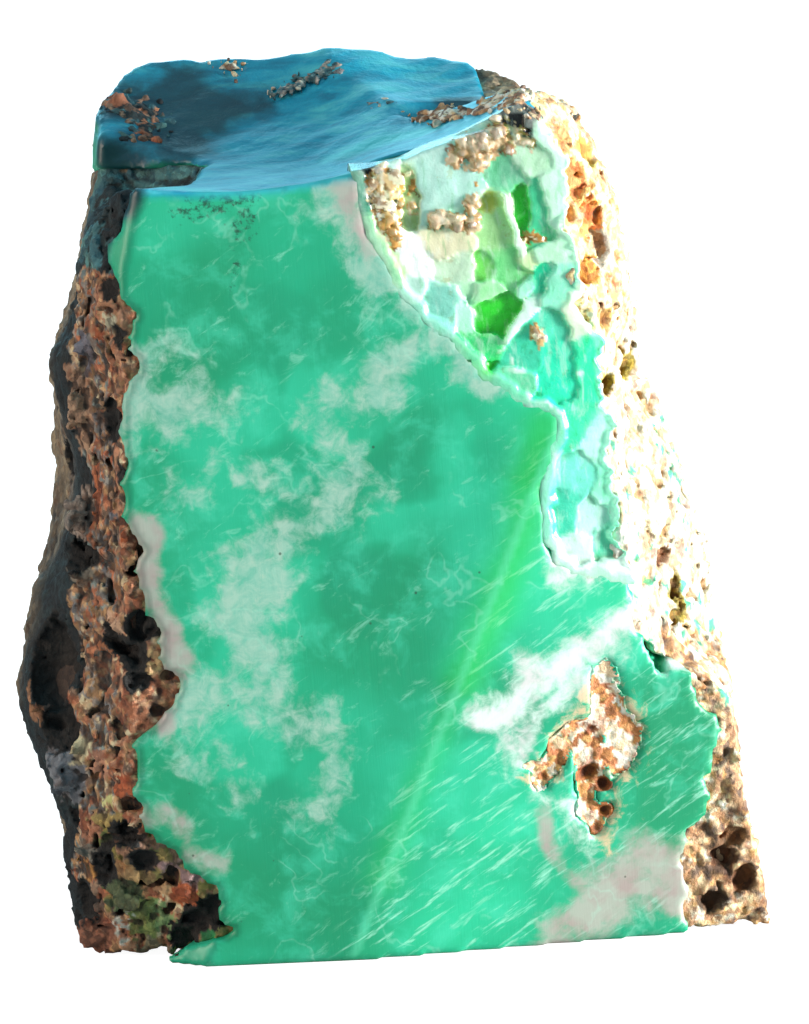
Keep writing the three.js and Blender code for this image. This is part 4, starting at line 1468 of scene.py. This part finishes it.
    # Upright saw marks on the sawn faces.
    saw_marks = n.noise(0.14, 3.0, 0.6, 0.0, n.stretch((1.0, 1.0, 30.0), 4))
    normal = n.bump(n.times(tint_mask, grain), 0.2)
    normal = n.bump(n.times(n.field("sawn"), saw_marks), 0.008, normal)
    normal = n.bump(n.times(n.field("top"), fine), 0.08, normal)
    roughness = n.add(n.add(0.36, n.times(fine, 0.12)), n.times(tint_mask, 0.25))
    return n.finish(surface, roughness, normal, 1.2, 0.25)


# ---- the pieces ----

stone_look, crystal_look = stone_material(), crystal_material()
# The second colour of each crust is the painted shade of its hollows.
rusty_look, pale_look = crust_material("rusty_crust", "3a2418"), crust_material("pale_crust", "d8b080")
for name, grid, budget, look, free in (
    ("chrysoprase", stone, 190000, stone_look, may_go),
    ("left_crust", left, 190000, rusty_look, None),
    ("right_crust", right, 150000, pale_look, None),
    ("pocket_crystals", pocket, 190000, crystal_look, None),
    ("rust_patch", patch, 40000, stone_look, None),
    ("top_druse", druse, 60000, rusty_look, None),
):
    add_piece(name, Skin(grid, budget, free, whole=name != "top_druse"), look)

# ---- a pale floor and soft light ----

# The floor and the sky look lighter to the camera than they shine on the stone.
FLOOR_HALF = 2.5  # metres
FLOOR_GLOW = 0.95
SKY_LIGHT = 0.25
BACKDROP_LIGHT = 1.2
floor_mesh = bpy.data.meshes.new("floor")
floor_mesh.from_pydata(
    [(x * FLOOR_HALF, y * FLOOR_HALF, 0.0) for x, y in ((-1, -1), (1, -1), (1, 1), (-1, 1))],
    [],
    [(0, 1, 2, 3)],
)
floor = bpy.data.objects.new("floor", floor_mesh)
bpy.context.collection.objects.link(floor)
f = Nodes("floor_paint")
floor_shader = f.tree.nodes.new("ShaderNodeBsdfPrincipled")
floor_output = f.tree.nodes.new("ShaderNodeOutputMaterial")
light_path = f.tree.nodes.new("ShaderNodeLightPath")
floor_shader.inputs["Base Color"].default_value = (0.5, 0.5, 0.5, 1)
floor_shader.inputs["Roughness"].default_value = 0.9
floor_shader.inputs["Specular IOR Level"].default_value = 0.0
floor_shader.inputs["Emission Color"].default_value = (1, 1, 1, 1)
f.put(floor_shader.inputs["Emission Strength"], f.times(light_path.outputs["Is Camera Ray"], FLOOR_GLOW))
f.put(floor_output.inputs["Surface"], floor_shader.outputs["BSDF"])
floor_mesh.materials.append(f.material)

world = bpy.data.worlds.new("sky")
world.use_nodes = True
sky = world.node_tree.nodes["Background"]
sky.inputs["Color"].default_value = (0.7, 0.9, 1.0, 1)
sky.inputs["Strength"].default_value = SKY_LIGHT
backdrop = world.node_tree.nodes.new("ShaderNodeBackground")
backdrop.inputs["Strength"].default_value = BACKDROP_LIGHT
sky_switch = world.node_tree.nodes.new("ShaderNodeMixShader")
sky_path = world.node_tree.nodes.new("ShaderNodeLightPath")
sky_links = world.node_tree.links
sky_links.new(sky_path.outputs["Is Camera Ray"], sky_switch.inputs["Fac"])
sky_links.new(sky.outputs[0], sky_switch.inputs[1])
sky_links.new(backdrop.outputs[0], sky_switch.inputs[2])
sky_links.new(sky_switch.outputs[0], world.node_tree.nodes["World Output"].inputs["Surface"])
bpy.context.scene.world = world


def area_light(name, azimuth, elevation, width, strength, tint, distance=0.6):
    """A square soft light aimed at the stone. Strength 1 lights a facing white surface fully.

    Its width and its distance are in metres.
    """
    data = bpy.data.lights.new(name, "AREA")
    data.shape = "SQUARE"
    data.size = width
    data.energy = strength * math.pi**2 * distance**2
    data.color = tint
    lamp = bpy.data.objects.new(name, data)
    turn, rise = math.radians(azimuth), math.radians(elevation)
    away = Vector((
        math.sin(turn) * math.cos(rise),
        -math.cos(turn) * math.cos(rise),
        math.sin(rise),
    ))
    lamp.location = Vector(place(0.5, 0.5, 0.5)) * MM + away * distance
    lamp.rotation_euler = away.to_track_quat("Z", "Y").to_euler()
    lamp.visible_camera = False
    bpy.context.collection.objects.link(lamp)


area_light("key", 74, 4, 0.14, 2.75, (1.0, 0.98, 0.94))
area_light("overhead", -20, 80, 0.5, 0.35, (0.3, 0.8, 1.0))
area_light("rear", 182, 12, 1.0, 0.6, (0.3, 0.8, 1.0), distance=1.6)
area_light("left_fill", -75, 12, 0.3, 0.6, (1.0, 0.8, 0.66))

bpy.context.scene.view_settings.view_transform = "Standard"
